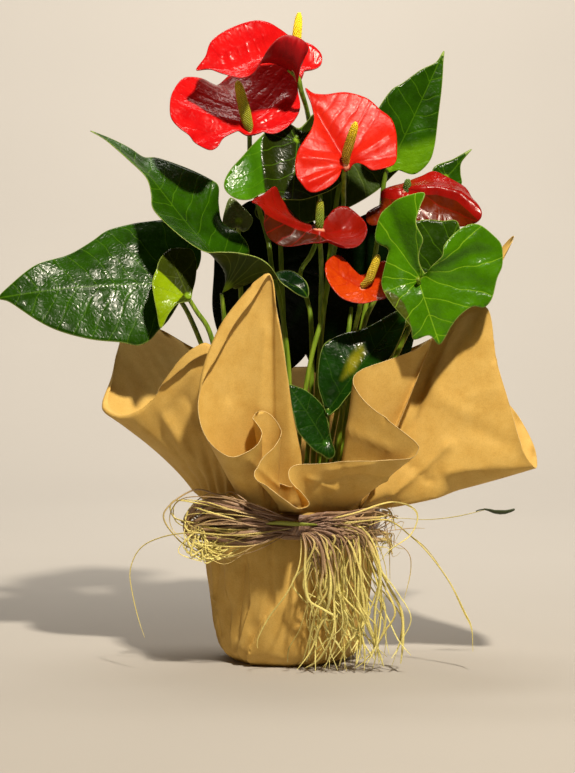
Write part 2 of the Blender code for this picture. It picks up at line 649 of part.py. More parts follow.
def make_pot():
    """Thin plastic nursery pot, open at the top, that stands inside the wrap."""
    foot, rim, wall = POT_FOOT_R, POT_RIM_R, POT_WALL
    low, top = POT_FOOT_Z, POT_RIM_Z
    bevel_r, bevel_z = foot + POT_BEVEL[0], low + POT_BEVEL[1]
    heel_r, heel_z = foot + POT_HEEL[0], low + POT_HEEL[1]
    lip_z = top - POT_LIP_HEIGHT
    outer = [(0, low), (foot, low), (bevel_r, bevel_z), (heel_r, heel_z), (rim - POT_LIP_OUT, lip_z - 2),
             (rim, lip_z), (rim, top)]
    inner = [(rim - 2 * wall, top), (rim - 3 * wall, lip_z - 1), (heel_r - wall, heel_z + 1),
             (bevel_r - wall, bevel_z + wall), (foot - wall, low + wall), (0, low + wall)]
    return lathe("nursery_pot", outer + inner, POT_SIDES, material("black_plastic", "1C1C1C", 0.5))


def make_soil(feet):
    """Soil that fills the pot, with a plain hole for each stem."""
    gap = POT_WALL + SOIL_GAP
    foot, low = POT_FOOT_R - gap, POT_FOOT_Z + gap
    rim = POT_RIM_R - 3 * POT_WALL - 2 * SOIL_GAP
    profile = [(0, low), (foot, low), (foot + POT_BEVEL[0], low + POT_BEVEL[1] + 1),
               (foot + POT_HEEL[0] - SOIL_GAP, low + POT_HEEL[1]), (rim, SOIL_TOP_Z - SOIL_SLOPE_DROP),
               (rim - SOIL_SLOPE_WIDTH, SOIL_TOP_Z), (0, SOIL_TOP_Z + SOIL_CROWN)]
    soil = lathe("potting_soil", profile, POT_SIDES, material("peat_soil", "2B1D12", 0.95))
    cutters = []
    for i, (x, y, r) in enumerate(feet):
        path = [Vector((x, y, ROOT_Z - SEAT_GAP)), Vector((x, y, HOLE_TOP_Z))]
        cutters.append(tube(f"hole_{i}", path, r + HOLE_GAP, STEM_SIDES, soil.data.materials[0]))
    return boolean(soil, cutters, "DIFFERENCE")


def angle_point(radius, degrees, z, pleated):
    """A point of the wrap's round wall, with its pleats."""
    turn = math.radians(degrees)
    r = radius + pleated * PLEAT_DEPTH * math.sin(PLEATS * turn + math.sin(3 * turn))
    return Vector((r * math.cos(turn), r * math.sin(turn), z))


def make_wrap(finish):
    """The wrap: a closed bag up to the neck, its flared collar, and the ruffled front fused to it."""
    rim, angles = [seen(p) for p, _ in COLLAR], [float(a) for _, a in COLLAR]
    for i in range(1, len(angles)):
        while angles[i] < angles[i - 1]:
            angles[i] += 360.0
    rim.append(rim[0].copy())
    angles.append(angles[0] + 360.0)
    rim, angles = smooth(rim, PAPER_STEP, False, angles)
    rim, angles = rim[:-1], angles[:-1]
    count = len(rim)
    points = [Vector((0, 0, PAPER / 2))]
    for radius, z, pleated in BAG:
        points += [angle_point(radius, a, z, pleated) for a in angles]
    for row in range(1, COLLAR_ROWS + 1):
        t = row / COLLAR_ROWS
        for r, a in zip(rim, angles):
            neck = angle_point(NECK_R, a, NECK_Z, NECK_PLEAT)
            rise = min(COLLAR_RISE * (r - neck).length, COLLAR_LIFT)
            middle = neck.lerp(r, COLLAR_BEND) + Vector((0, 0, rise))
            points.append(neck * (1 - t) ** 2 + middle * 2 * t * (1 - t) + r * t * t)
    rows = len(BAG) + COLLAR_ROWS
    triangles = [(0, 1 + i, 1 + (i + 1) % count) for i in range(count)]
    for row in range(rows - 1):
        a, b = 1 + row * count, 1 + (row + 1) * count
        for i in range(count):
            j = (i + 1) % count
            triangles += [(a + i, b + i, b + j), (a + i, b + j, a + j)]
    flat = set(range(1 + 2 * count))
    wrap = thickened("kraft_wrap", points, triangles, PAPER, finish, flat)
    return boolean(wrap, [make_ruffle(finish)], "UNION", "MANIFOLD")


def make_ruffle(finish):
    """The folded front of the sheet: the tall lobe, its rolls and the cone at the right."""
    rim = [seen(p) for p, _ in RUFFLE]
    pairs = [Vector((x, y, 0)) for _, (x, y) in RUFFLE]
    rim, along = smooth(rim, RUFFLE_STEP, False, [float(i) for i in range(len(rim))])
    points, count = [], len(rim)
    for row in range(RUFFLE_ROWS + 1):
        t = row / RUFFLE_ROWS
        for r, s in zip(rim, along):
            i = min(int(s), len(pairs) - 2)
            foot = pairs[i].lerp(pairs[i + 1], s - i)
            out = foot.normalized()
            foot.z = RUFFLE_FOOT_Z
            middle = foot.lerp(r, RUFFLE_BEND) + out * RUFFLE_SWELL + Vector((0, 0, RUFFLE_LIFT))
            points.append(foot * (1 - t) ** 2 + middle * 2 * t * (1 - t) + r * t * t)
    triangles = []
    for row in range(RUFFLE_ROWS):
        a, b = row * count, (row + 1) * count
        for i in range(count - 1):
            triangles += [(a + i, b + i + 1, b + i), (a + i, a + i + 1, b + i + 1)]
    return thickened("ruffle", points, triangles, PAPER, finish)


def make_band(finish):
    """The raffia wound round the neck, with its ridges raised by a formula."""
    points, faces, turns, sides = [], [], BAND_TURNS, BAND_SIDES
    for i in range(turns):
        a = 2 * math.pi * i / turns
        for k in range(sides):
            b = 2 * math.pi * k / sides
            groove = BAND_GROOVE if k % 2 else 1.0
            outward = -math.cos(b)
            r = BAND_INNER_R + BAND_DEPTH / 2 * (1 + outward * (groove if outward > 0 else 1.0))
            z = BAND_Z + BAND_HEIGHT / 2 * math.sin(b) * groove + BAND_WAVE * math.sin(3 * a + 1.0)
            points.append(Vector((r * math.cos(a), r * math.sin(a), z)))
    for i in range(turns):
        n = (i + 1) % turns
        for k in range(sides):
            m = (k + 1) % sides
            faces.append((i * sides + k, i * sides + m, n * sides + m, n * sides + k))
    return mesh_object("raffia_band", points, faces, finish)


# Raffia bow, from the knot: the knot's middle and half sizes, loops, tails and long loose strands
KNOT = (11.0, -100.8, 144.0)
KNOT_HALF = (11.0, 8.2, 10.0)
LOOPS = [
    [(0, -104, 150), (-44, -112, 160), (-84, -100, 170), (-112, -84, 165), (-108, -84, 150), (-84, -94, 142),
     (-40, -108, 140), (0, -104, 142)],
    [(0, -106, 147), (-40, -116, 152), (-76, -106, 162), (-100, -94, 158), (-98, -94, 142), (-70, -104, 134),
     (-36, -112, 134), (0, -106, 140)],
    [(0, -105, 145), (-36, -118, 146), (-70, -112, 152), (-92, -102, 146), (-88, -100, 126), (-60, -108, 122),
     (-30, -112, 130), (0, -105, 141)],
    [(2, -106, 152), (-30, -116, 166), (-66, -112, 176), (-96, -98, 176), (-116, -88, 160), (-112, -86, 136),
     (-92, -92, 122), (-62, -104, 114), (-30, -110, 126), (2, -106, 140)],
    [(16, -104, 150), (50, -110, 156), (82, -92, 158), (100, -78, 150), (92, -82, 140), (60, -102, 138),
     (16, -104, 142)],
]

# Tails from the first to the last: where each starts, where it bends over the band, and where it ends
TAILS_COUNT = 13
TAIL_STARTS = ((15, -106, 140), (22, -103, 148))
TAIL_BENDS = ((24, -114, 132), (70, -100, 140))
TAIL_SPREAD = (20.0, 112.0)
TAIL_MIDDLES = ((0, -108, 78), (0, -96, 100))
TAIL_LOWS = ((0, -96, 42), (0, -90, 42))
TAIL_END_Y = -86
TAIL_END_Z = 4.0
LOOSE = [
    [(4, -106, 144), (-50, -114, 139), (-98, -98, 138), (-128, -86, 132), (-146, -80, 120), (-153, -78, 100),
     (-152, -78, 78), (-145, -80, 52), (-140, -82, 34)],
    [(16, -104, 146), (62, -104, 150), (96, -86, 150), (118, -78, 134), (136, -74, 116), (156, -74, 88),
     (171, -76, 58), (178, -78, 42), (179, -80, 20)],
    [(16, -104, 143), (70, -100, 136), (110, -84, 128), (150, -74, 138), (186, -70, 146), (224, -68, 148)],
    [(12, -106, 138), (10, -116, 110), (-2, -114, 82), (-18, -104, 58), (-31, -98, 34), (-30, -96, 26)],
    [(16, -104, 148), (60, -106, 158), (100, -88, 168), (124, -80, 156), (120, -80, 136), (96, -90, 120),
     (84, -94, 104)],
]


def make_bow(finish):
    """The knot with its loops, tails and loose strands, fused into one piece."""
    profile = [(math.sin(math.pi * i / 6), -math.cos(math.pi * i / 6)) for i in range(7)]
    knot = lathe("raffia_bow", profile, 10, finish)
    for v in knot.data.vertices:
        v.co = v.co * Vector(KNOT_HALF) + Vector(KNOT) * MM
    draw = random.Random(7)
    paths = [(loop, LOOP_R) for loop in LOOPS] + [(strand, LOOSE_R) for strand in LOOSE]
    for i in range(TAILS_COUNT):
        s = i / (TAILS_COUNT - 1)
        low, high = TAIL_SPREAD
        x = low + (high - low) * s + draw.uniform(-4, 4)
        end = TAIL_END_Z + draw.uniform(0, 1) * (20 + 60 * abs(s - 0.35))
        bulge, depth = draw.uniform(2, 14), draw.uniform(-7, 7)
        start, over, middle, foot = (Vector(a).lerp(Vector(b), s) for a, b in
                                     (TAIL_STARTS, TAIL_BENDS, TAIL_MIDDLES, TAIL_LOWS))
        over += Vector((0, -depth * 0.4, 0))
        middle += Vector((x * 0.75 + bulge, -depth, 0))
        foot += Vector((x, -depth, 0))
        paths.append(([start, over, middle, foot, (x - bulge * 0.7, TAIL_END_Y + depth, end)], TAIL_R))
    strands = []
    for i, (path, r) in enumerate(paths):
        run = smooth([Vector(p) for p in path], STRAND_STEP, False)
        strands.append(tube(f"strand_{i}", run, r, 4, finish, STRAND_FLATNESS))
    return boolean(knot, strands, "UNION", "MANIFOLD")


def stem_path(run):
    """A stem's smooth path from the bloom or blade down into its hole in the soil."""
    foot = run[-1]
    return smooth(run + [Vector((foot.x, foot.y, ROOT_Z))], STEM_STEP, False)


def make_bloom(name, bloom):
    """The stalk, spathe and spadix of one bloom, and the place of the stalk's foot."""
    red = material("spathe_red", "E8231A", 0.25)
    green = material("stalk_green", "5A6E12", 0.5)
    gold = material("spadix_gold", "C9B32A", 0.6)
    hub = seen(bloom["hub"])
    rim = smooth([seen(p) for p in bloom["rim"]], EDGE_STEP, True)
    points, triangles = blade(hub, rim, bloom["droop"], BLADE_STEP)
    thickened(f"{name}_spathe", points, triangles, SPATHE, red)
    base, tip, radius = bloom["spadix"]
    base, tip = seen(base), seen(tip)
    out = hub_normal(points, triangles, len(rim), tip)
    surface = BVHTree.FromPolygons(points, triangles)
    start = seat_on(surface, hub, out, radius * SPADIX_SHAPE[0][1], SPATHE)
    path = [start, start + out * SPADIX_LEAD] + [base.lerp(tip, t) for t, _ in SPADIX_SHAPE[2:]]
    tube(f"{name}_spadix", path, [radius * r for _, r in SPADIX_SHAPE], SPADIX_SIDES, gold)
    top = seat_on(surface, hub, -out, STALK_R, SPATHE)
    run = stem_path([top, top - out * SEAT_LEAD] + [seen(p) for p in bloom["stalk"]])
    tube(f"{name}_stalk", run, STALK_R, STEM_SIDES, green)
    return run[-1].x, run[-1].y, STALK_R


def make_leaf(name, leaf):
    """One blade fused to its petiole, and the place of the petiole's foot."""
    green = material("leaf_green", "2F6A12", 0.3)
    hub = seen(leaf["hub"])
    rim = smooth([seen(p) for p in leaf["rim"]], EDGE_STEP, True)
    run = stem_path([hub] + [seen(p) for p in leaf["petiole"]])
    points, triangles = blade(hub, rim, leaf["droop"], BLADE_STEP)
    leaf = thickened(name, points, triangles, BLADE, green)
    petiole = tube(f"{name}_petiole", run, PETIOLE_R, STEM_SIDES, green)
    boolean(leaf, [petiole], "UNION", "MANIFOLD")
    return run[-1].x, run[-1].y, PETIOLE_R


def main():
    for old in list(bpy.data.objects):
        bpy.data.objects.remove(old)
    kraft = material("kraft_paper", "C79A4B", 0.8)
    raffia = material("raffia", "C8B06A", 0.7)
    feet = [make_bloom(name, bloom) for name, bloom in BLOOMS.items()]
    feet += [make_leaf(name, leaf) for name, leaf in LEAVES.items()]
    make_pot()
    make_soil(feet)
    make_wrap(kraft)
    make_band(raffia)
    make_bow(raffia)


main()
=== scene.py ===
"""Looks of a potted red anthurium: blooms, leaves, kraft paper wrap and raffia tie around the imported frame.

Shapes are in millimetres until a mesh is made. Blooms, leaves and paper edges are given by points (x, z, y):
x and z as they look from the front viewpoint on the plane through the pot's axis, and y the depth. The pot,
the wrap's neck and the tie use true positions (x, y, z).
"""

import math
import random

import bpy
import numpy as np
from mathutils import Matrix, Vector, noise
from mathutils.geometry import delaunay_2d_cdt


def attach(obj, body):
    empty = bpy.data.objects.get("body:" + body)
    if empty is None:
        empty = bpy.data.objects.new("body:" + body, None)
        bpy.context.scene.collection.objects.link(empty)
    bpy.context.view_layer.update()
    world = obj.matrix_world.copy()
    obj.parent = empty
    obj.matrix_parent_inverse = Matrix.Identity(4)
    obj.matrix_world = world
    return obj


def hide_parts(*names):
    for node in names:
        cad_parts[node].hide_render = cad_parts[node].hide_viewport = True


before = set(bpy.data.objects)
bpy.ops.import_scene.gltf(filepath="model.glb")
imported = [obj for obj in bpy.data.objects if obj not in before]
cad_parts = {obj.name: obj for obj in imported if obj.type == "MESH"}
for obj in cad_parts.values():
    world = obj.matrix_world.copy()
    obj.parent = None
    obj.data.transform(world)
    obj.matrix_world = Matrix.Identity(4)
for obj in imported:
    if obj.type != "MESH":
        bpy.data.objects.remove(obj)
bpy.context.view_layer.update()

MM = 0.001

# Viewpoint that the (x, z, y) points are seen from
EYE_X = 7.0
EYE_Z = 454.0
EYE_DISTANCE = 2587.0

# Camera: place, tilt down and turn in degrees, and its lens for a 36 mm high picture
CAMERA_PLACE = (0.007, -2.587, 0.454)
CAMERA_DOWN = 4.0
CAMERA_TURN = 0.19
CAMERA_LENS = 121.1
PICTURE_HEIGHT = 36.0

# Kraft paper wrap
PAPER = 0.5
BASE_R = 50.0
NECK_Z = 157.0
NECK_R = 83.0
NECK_PLEAT = 0.6
PLEATS = 13
PLEAT_DEPTH = 1.1
COLLAR_ROWS = 30
COLLAR_BEND = 0.35
COLLAR_RISE = 0.3
COLLAR_LIFT = 16.0
COLLAR_STEP = 4.0
RUFFLE_FOOT_Z = 156.0
RUFFLE_BEND = 0.4
RUFFLE_SWELL = 7.0
RUFFLE_LIFT = 5.0
RUFFLE_STEP = 3.0
RUFFLE_ROWS = 30

# Gathers above the neck: how many, how deep, and how far up the collar they are deepest and fade
GATHERS = 37
GATHER_DEPTH = 3.2
GATHER_PEAK = 0.15
GATHER_FADE = 0.22

# Nursery pot and soil
POT_WALL = 1.6
POT_FOOT_Z = 1.2
POT_RIM_Z = 146.0
POT_RIM_R = 80.3
POT_FOOT_R = 46.0
POT_BEVEL = (12.0, 9.0)
POT_HEEL = (18.0, 20.0)
POT_LIP_OUT = 3.5
POT_LIP_HEIGHT = 12.0
POT_LIP_ROUND = 0.6
POT_SIDES = 96
SOIL_TOP_Z = 132.0
SOIL_DROP = 3.0
SOIL_RING = 2.0
SOIL_SLOPE_RINGS = 6
SOIL_GAP = 0.35
ROOT_Z = 114.0

# Raffia tie: its band, its knot, and the width and thickness of their strips
BAND_Z = 142.5
BAND_HEIGHT = 25.0
BAND_INNER_R = 85.6
BAND_OUTER_R = 92.6
BAND_ROWS = 9
BAND_STEPS = 90
BAND_STRIP = (3.6, 0.5)
BAND_SEED = 11
KNOT = (11.0, -100.8, 144.0)
BOW_STRIP = (2.8, 0.45)
BOW_SEED = 7
STRIP_TAPER = 6

# How many strands of each kind the bow has
LOOP_STRANDS = 34
WIDE_LOOP_STRANDS = 20
CURLS = 26
SIDE_TAILS = 36
HANGING_TAILS = 66
WISPS = 12
KNOT_TURNS = 8
KNOT_STEPS = 28

# Plant
LEAF_THICKNESS = 0.7
SPATHE_THICKNESS = 0.7
LEAF_PUFF = 0.6
SPATHE_PUFF = 0.35
STALK_R = 2.4
STALK_LEAD = 4.0
PETIOLE_R = 2.5
STEM_SIDES = 20
PETIOLE_SEAT = 0.3
BLOOM_SEAT = 0.4
LEAF_STEP = 2.6
SPATHE_STEP = 1.7
RIM_STEP = 2.4
RIM_CLEARANCE = 0.45
STEM_STEP = 5.0

# How sharp the creases of blades, collar and folded front are: 1 for sharp, 2 for soft
BLADE_CREASE = 1.7
COLLAR_CREASE = 1.05
RUFFLE_CREASE = 1.1

# Veins: how far forward a side vein leans for each millimetre outwards, and the turn between the veins that
# fan out behind the hub
VEIN_LEAN = 0.62
VEIN_FAN = 0.46
VEIN_TURN = math.atan2(1.0, VEIN_LEAN)
VEIN_SLOPE = 1.0 / math.hypot(1.0, VEIN_LEAN)


def seen(point):
    """The true place of a point (x, z, y) that is given as it looks from the viewpoint."""
    x, z, y = point[:3]
    k = 1.0 + y / EYE_DISTANCE
    return Vector((EYE_X + (x - EYE_X) * k, y, EYE_Z + (z - EYE_Z) * k))


def as_seen(points):
    """Where true places lie, as (x, z), when they are looked at from the viewpoint."""
    near = 1.0 + points[:, 1] / EYE_DISTANCE
    return np.column_stack([EYE_X + (points[:, 0] - EYE_X) / near, EYE_Z + (points[:, 2] - EYE_Z) / near])


def run_gap(spots, a, b):
    """How far each spot is from the straight run between a and b."""
    run = b - a
    t = np.clip(((spots - a) @ run) / max(run @ run, 1e-9), 0, 1)
    return np.linalg.norm(spots - a - t[:, None] * run, axis=1)


def outline_gap(spots, outline):
    """Which spots lie inside a closed outline, and how far each spot is from it."""
    within, gap = np.zeros(len(spots), bool), np.full(len(spots), 1e9)
    for a, b in zip(outline, np.roll(outline, 1, axis=0)):
        crossing = (a[1] > spots[:, 1]) != (b[1] > spots[:, 1])
        rise = b[1] - a[1] if abs(b[1] - a[1]) > 1e-12 else 1e-12
        within ^= crossing & (spots[:, 0] < (b[0] - a[0]) * (spots[:, 1] - a[1]) / rise + a[0])
        gap = np.minimum(gap, run_gap(spots, a, b))
    return within, gap


def catmull(p0, p1, p2, p3, t):
    """A point on the smooth curve between p1 and p2."""
    a = 2.0 * p1
    b = p2 - p0
    c = 2.0 * p0 - 5.0 * p1 + 4.0 * p2 - p3
    d = 3.0 * (p1 - p2) + p3 - p0
    return 0.5 * (a + b * t + c * t * t + d * t * t * t)


def smooth(points, step, closed, extra=None):
    """Points about step apart on a smooth curve through the given ones, with extra values carried along."""
    count = len(points)
    spans = count if closed else count - 1
    out, carried = [], []
    for i in range(spans):
        ends = [i - 1, i, i + 1, i + 2]
        if closed:
            ends = [e % count for e in ends]
        else:
            ends = [min(max(e, 0), count - 1) for e in ends]
        p = [points[e] for e in ends]
        pieces = max(1, round((p[2] - p[1]).length / step))
        for k in range(pieces):
            t = k / pieces
            out.append(catmull(*p, t))
            if extra:
                carried.append(extra[ends[1]] * (1 - t) + extra[ends[2]] * t)
    if not closed:
        out.append(points[-1].copy())
        if extra:
            carried.append(extra[-1])
    return (out, carried) if extra else out


# Materials


def linear(text):
    """The linear colour of an sRGB hex value."""
    parts = [int(text[i:i + 2], 16) / 255 for i in (0, 2, 4)]
    return tuple(c / 12.92 if c <= 0.04045 else ((c + 0.055) / 1.055) ** 2.4 for c in parts) + (1.0,)


def add(tree, kind, settings=None, inputs=None):
    """Adds a node with its settings, and each input linked to a socket or node, or set to a value."""
    made = tree.nodes.new(kind)
    for key, value in (settings or {}).items():
        setattr(made, key, value)
    for key, value in (inputs or {}).items():
        socket = made.inputs[key]
        if isinstance(value, bpy.types.Node):
            value = value.outputs[0]
        if isinstance(value, bpy.types.NodeSocket):
            tree.links.new(value, socket)
        else:
            socket.default_value = value
    return made


def ramp(tree, factor, stops):
    """A colour ramp through (place, hex colour) stops."""
    made = add(tree, "ShaderNodeValToRGB", None, {0: factor})
    elements = made.color_ramp.elements
    while len(elements) < len(stops):
        elements.new(0.5)
    for element, (place, colour) in zip(elements, stops):
        element.position = place
        element.color = linear(colour)
    return made


def new_material(name, roughness, ior=1.45):
    """A material with a Principled shader at its default look; returns it, its tree and the shader."""
    made = bpy.data.materials.new(name)
    made.use_nodes = True
    shader = made.node_tree.nodes["Principled BSDF"]
    shader.inputs["Roughness"].default_value = roughness
    shader.inputs["IOR"].default_value = ior
    return made, made.node_tree, shader


def paint(tree, shader, tone, shade, share):
    """Base colour: a tone that a share of a grey shade darkens."""
    mixed = add(tree, "ShaderNodeMix", {"data_type": "RGBA", "blend_type": "MULTIPLY"},
                {0: share, 6: tone, 7: shade})
    tree.links.new(mixed.outputs[2], shader.inputs["Base Color"])


def emboss(tree, shader, height, strength, distance):
    """Raises the surface by a height of up to distance in metres."""
    bump = add(tree, "ShaderNodeBump", None, {"Height": height, "Strength": strength, "Distance": distance})
    tree.links.new(bump.outputs[0], shader.inputs["Normal"])


def vein_gap(tree, place, spacing):
    """How far a place of a blade is from its midrib and its side veins, in millimetres."""
    wander = add(tree, "ShaderNodeTexNoise", None, {"Vector": place, "Scale": 0.045, "Detail": 1.0})
    drift = add(tree, "ShaderNodeVectorMath", {"operation": "MULTIPLY_ADD"},
                {0: wander.outputs["Color"], 1: (9.0, 9.0, 0.0), 2: (-4.5, -4.5, 0.0)})
    drifted = add(tree, "ShaderNodeVectorMath", {"operation": "ADD"}, {0: place, 1: drift})
    along = add(tree, "ShaderNodeSeparateXYZ", None, {0: drifted})
    middle = add(tree, "ShaderNodeSeparateXYZ", None, {0: place})
    side = add(tree, "ShaderNodeMath", {"operation": "ABSOLUTE"}, {0: along.outputs[1]})
    leaning = add(tree, "ShaderNodeMath", {"operation": "MULTIPLY"}, {0: side, 1: VEIN_LEAN})
    lead = add(tree, "ShaderNodeMath", {"operation": "SUBTRACT"}, {0: along.outputs[0], 1: leaning})
    turn = add(tree, "ShaderNodeMath", {"operation": "ARCTAN2"}, {0: side, 1: along.outputs[0]})
    reach = add(tree, "ShaderNodeVectorMath", {"operation": "LENGTH"}, {0: drifted})
    gaps = []
    behind = add(tree, "ShaderNodeMath", {"operation": "SUBTRACT"}, {0: turn, 1: VEIN_TURN})
    for distance, pitch in ((lead, spacing), (behind, VEIN_FAN)):
        count = add(tree, "ShaderNodeMath", {"operation": "DIVIDE"}, {0: distance, 1: pitch})
        shifted = add(tree, "ShaderNodeMath", {"operation": "ADD"}, {0: count, 1: 0.5})
        part = add(tree, "ShaderNodeMath", {"operation": "FRACT"}, {0: shifted})
        centred = add(tree, "ShaderNodeMath", {"operation": "SUBTRACT"}, {0: part, 1: 0.5})
        gaps.append(add(tree, "ShaderNodeMath", {"operation": "ABSOLUTE"}, {0: centred}))
    front = add(tree, "ShaderNodeMath", {"operation": "MULTIPLY"}, {0: gaps[0], 1: spacing * VEIN_SLOPE})
    arc = add(tree, "ShaderNodeMath", {"operation": "MULTIPLY"}, {0: reach.outputs["Value"], 1: VEIN_FAN})
    back = add(tree, "ShaderNodeMath", {"operation": "MULTIPLY"}, {0: gaps[1], 1: arc})
    ahead = add(tree, "ShaderNodeMath", {"operation": "GREATER_THAN"}, {0: lead, 1: 0.0})
    branches = add(tree, "ShaderNodeMix", None, {"Factor": ahead, "A": back, "B": front})
    off_midrib = add(tree, "ShaderNodeMath", {"operation": "ABSOLUTE"}, {0: middle.outputs[1]})
    midrib = add(tree, "ShaderNodeMath", {"operation": "MULTIPLY"}, {0: off_midrib, 1: 0.6})
    backwards = add(tree, "ShaderNodeMath", {"operation": "LESS_THAN"}, {0: middle.outputs[0], 1: 0.0})
    stopped = add(tree, "ShaderNodeMath", {"operation": "MULTIPLY_ADD"}, {0: backwards, 1: 50.0, 2: midrib})
    return add(tree, "ShaderNodeMath", {"operation": "MINIMUM"}, {0: branches, 1: stopped})


def blade_material(name, look, patch=None):
    """A waxy blade: a mottled ground, paler hub and veins, a fine net of veins, and a gloss that they break.

    look holds dark and light grounds, vein, hub and rim colours, roughness, coat and shine, the veins'
    spacing and width in mm and how strongly they are drawn, the size of the hub's patch and of the rim's
    line, the net's cell in mm, and how deep the net and the ribs are. patch holds the dark and light grounds
    of a part of the blade, and how soft its border is in mm.
    """
    made, tree, shader = new_material(name, look["roughness"])
    place = add(tree, "ShaderNodeUVMap", {"uv_map": "blade"})
    mottle = add(tree, "ShaderNodeTexNoise", None,
                 {"Vector": place, "Scale": 0.03, "Detail": 5.0, "Roughness": 0.6})
    ground = ramp(tree, mottle, [(0.3, look["dark"]), (0.7, look["light"])]).outputs[0]
    if patch:
        inside = add(tree, "ShaderNodeAttribute", {"attribute_name": "region"})
        share = add(tree, "ShaderNodeMapRange", {"interpolation_type": "SMOOTHSTEP"},
                    {"Value": inside.outputs["Fac"], "From Min": -patch["soft"], "From Max": patch["soft"]})
        other = ramp(tree, mottle, [(0.3, patch["dark"]), (0.7, patch["light"])])
        ground = add(tree, "ShaderNodeMix", {"data_type": "RGBA"},
                     {0: share, 6: ground, 7: other.outputs[0]}).outputs[2]
    gap = vein_gap(tree, place, look["spacing"])
    line = add(tree, "ShaderNodeMapRange", {"interpolation_type": "SMOOTHSTEP"},
               {"Value": gap, "From Min": 0.15, "From Max": look["width"], "To Min": look["drawn"],
                "To Max": 0.0})
    lined = add(tree, "ShaderNodeMix", {"data_type": "RGBA"},
                {0: line, 6: ground, 7: linear(look["vein"])})
    from_hub = add(tree, "ShaderNodeVectorMath", {"operation": "LENGTH"}, {0: place})
    near = add(tree, "ShaderNodeMapRange", {"interpolation_type": "SMOOTHSTEP"},
               {"Value": from_hub.outputs["Value"], "From Min": 2.0, "From Max": look["hub_size"],
                "To Min": 0.85, "To Max": 0.0})
    hubbed = add(tree, "ShaderNodeMix", {"data_type": "RGBA"},
                 {0: near, 6: lined.outputs[2], 7: linear(look["hub"])})
    edge = add(tree, "ShaderNodeAttribute", {"attribute_name": "rim_gap"})
    rim = add(tree, "ShaderNodeMapRange", None,
              {"Value": edge.outputs["Fac"], "From Min": 0.0, "From Max": look["rim_width"],
               "To Min": look["rim_drawn"], "To Max": 0.0})
    rimmed = add(tree, "ShaderNodeMix", {"data_type": "RGBA"},
                 {0: rim, 6: hubbed.outputs[2], 7: linear(look["rim"])})
    tree.links.new(rimmed.outputs[2], shader.inputs["Base Color"])
    net = add(tree, "ShaderNodeTexVoronoi", {"feature": "DISTANCE_TO_EDGE"},
              {"Vector": place, "Scale": 1.0 / look["cell"]})
    cells = add(tree, "ShaderNodeMapRange", {"interpolation_type": "SMOOTHSTEP"},
                {"Value": net.outputs["Distance"], "From Min": 0.0, "From Max": 0.35, "To Min": 0.0,
                 "To Max": look["net"]})
    ribs = add(tree, "ShaderNodeMapRange", {"interpolation_type": "SMOOTHSTEP"},
               {"Value": gap, "From Min": 0.0, "From Max": 3.0, "To Min": 0.0, "To Max": look["rib"]})
    height = add(tree, "ShaderNodeMath", {"operation": "ADD"}, {0: cells, 1: ribs})
    emboss(tree, shader, height, 1.0, 0.001)
    shader.inputs["Specular IOR Level"].default_value = look["shine"]
    shader.inputs["Coat Weight"].default_value = look["coat"]
    shader.inputs["Coat Roughness"].default_value = 0.12
    grain = add(tree, "ShaderNodeTexNoise", None, {"Vector": place, "Scale": 0.25, "Detail": 3.0})
    gloss = add(tree, "ShaderNodeMapRange", None,
                {"Value": grain, "From Min": 0.3, "From Max": 0.7, "To Min": look["roughness"] - 0.06,
                 "To Max": look["roughness"] + 0.1})
    tree.links.new(gloss.outputs[0], shader.inputs["Roughness"])
    return made


LEAF_LOOK = {"dark": "142E01", "light": "264E02", "vein": "5C8A14", "hub": "7CA020", "rim": "A9C060",
             "roughness": 0.22, "coat": 0.0, "shine": 0.17, "spacing": 19.0, "width": 0.6, "drawn": 0.3,
             "hub_size": 5.0, "rim_width": 0.9, "rim_drawn": 0.5, "cell": 4.2, "net": 0.1, "rib": 0.18}
SPATHE_LOOK = {"dark": "AE060C", "light": "C81614", "vein": "980A0C", "hub": "F0A080", "rim": "901010",
               "roughness": 0.22, "coat": 0.0, "shine": 0.15, "spacing": 13.0, "width": 1.0, "drawn": 0.3,
               "hub_size": 4.0, "rim_width": 0.8, "rim_drawn": 0.4, "cell": 6.0, "net": 0.16, "rib": 0.14}


def paper_material():
    """Brown kraft paper: matt, with a fine fibre, cloudy pulp and soft dents from handling."""
    made, tree, shader = new_material("brown_kraft_paper", 0.72)
    place = add(tree, "ShaderNodeTexCoord").outputs["Object"]
    clouds = add(tree, "ShaderNodeTexNoise", None, {"Vector": place, "Scale": 60.0, "Detail": 6.0,
                                                    "Roughness": 0.65})
    tone = ramp(tree, clouds, [(0.3, "C79F4B"), (0.5, "CEA855"), (0.72, "D4B05F")])
    fibre = add(tree, "ShaderNodeTexNoise", None, {"Vector": place, "Scale": 900.0, "Detail": 3.0})
    specks = ramp(tree, fibre, [(0.3, "EDEBE6"), (0.62, "FFFFFF")])
    paint(tree, shader, tone, specks, 0.8)
    dents = add(tree, "ShaderNodeTexNoise", None, {"Vector": place, "Scale": 28.0, "Detail": 3.0,
                                                   "Roughness": 0.5})
    grain = add(tree, "ShaderNodeTexNoise", None, {"Vector": place, "Scale": 1400.0, "Detail": 2.0})
    grain_height = add(tree, "ShaderNodeMath", {"operation": "MULTIPLY"}, {0: grain, 1: 0.015})
    height = add(tree, "ShaderNodeMath", {"operation": "MULTIPLY_ADD"}, {0: dents, 1: 1.0, 2: grain_height})
    emboss(tree, shader, height, 0.5, 0.001)
    return made


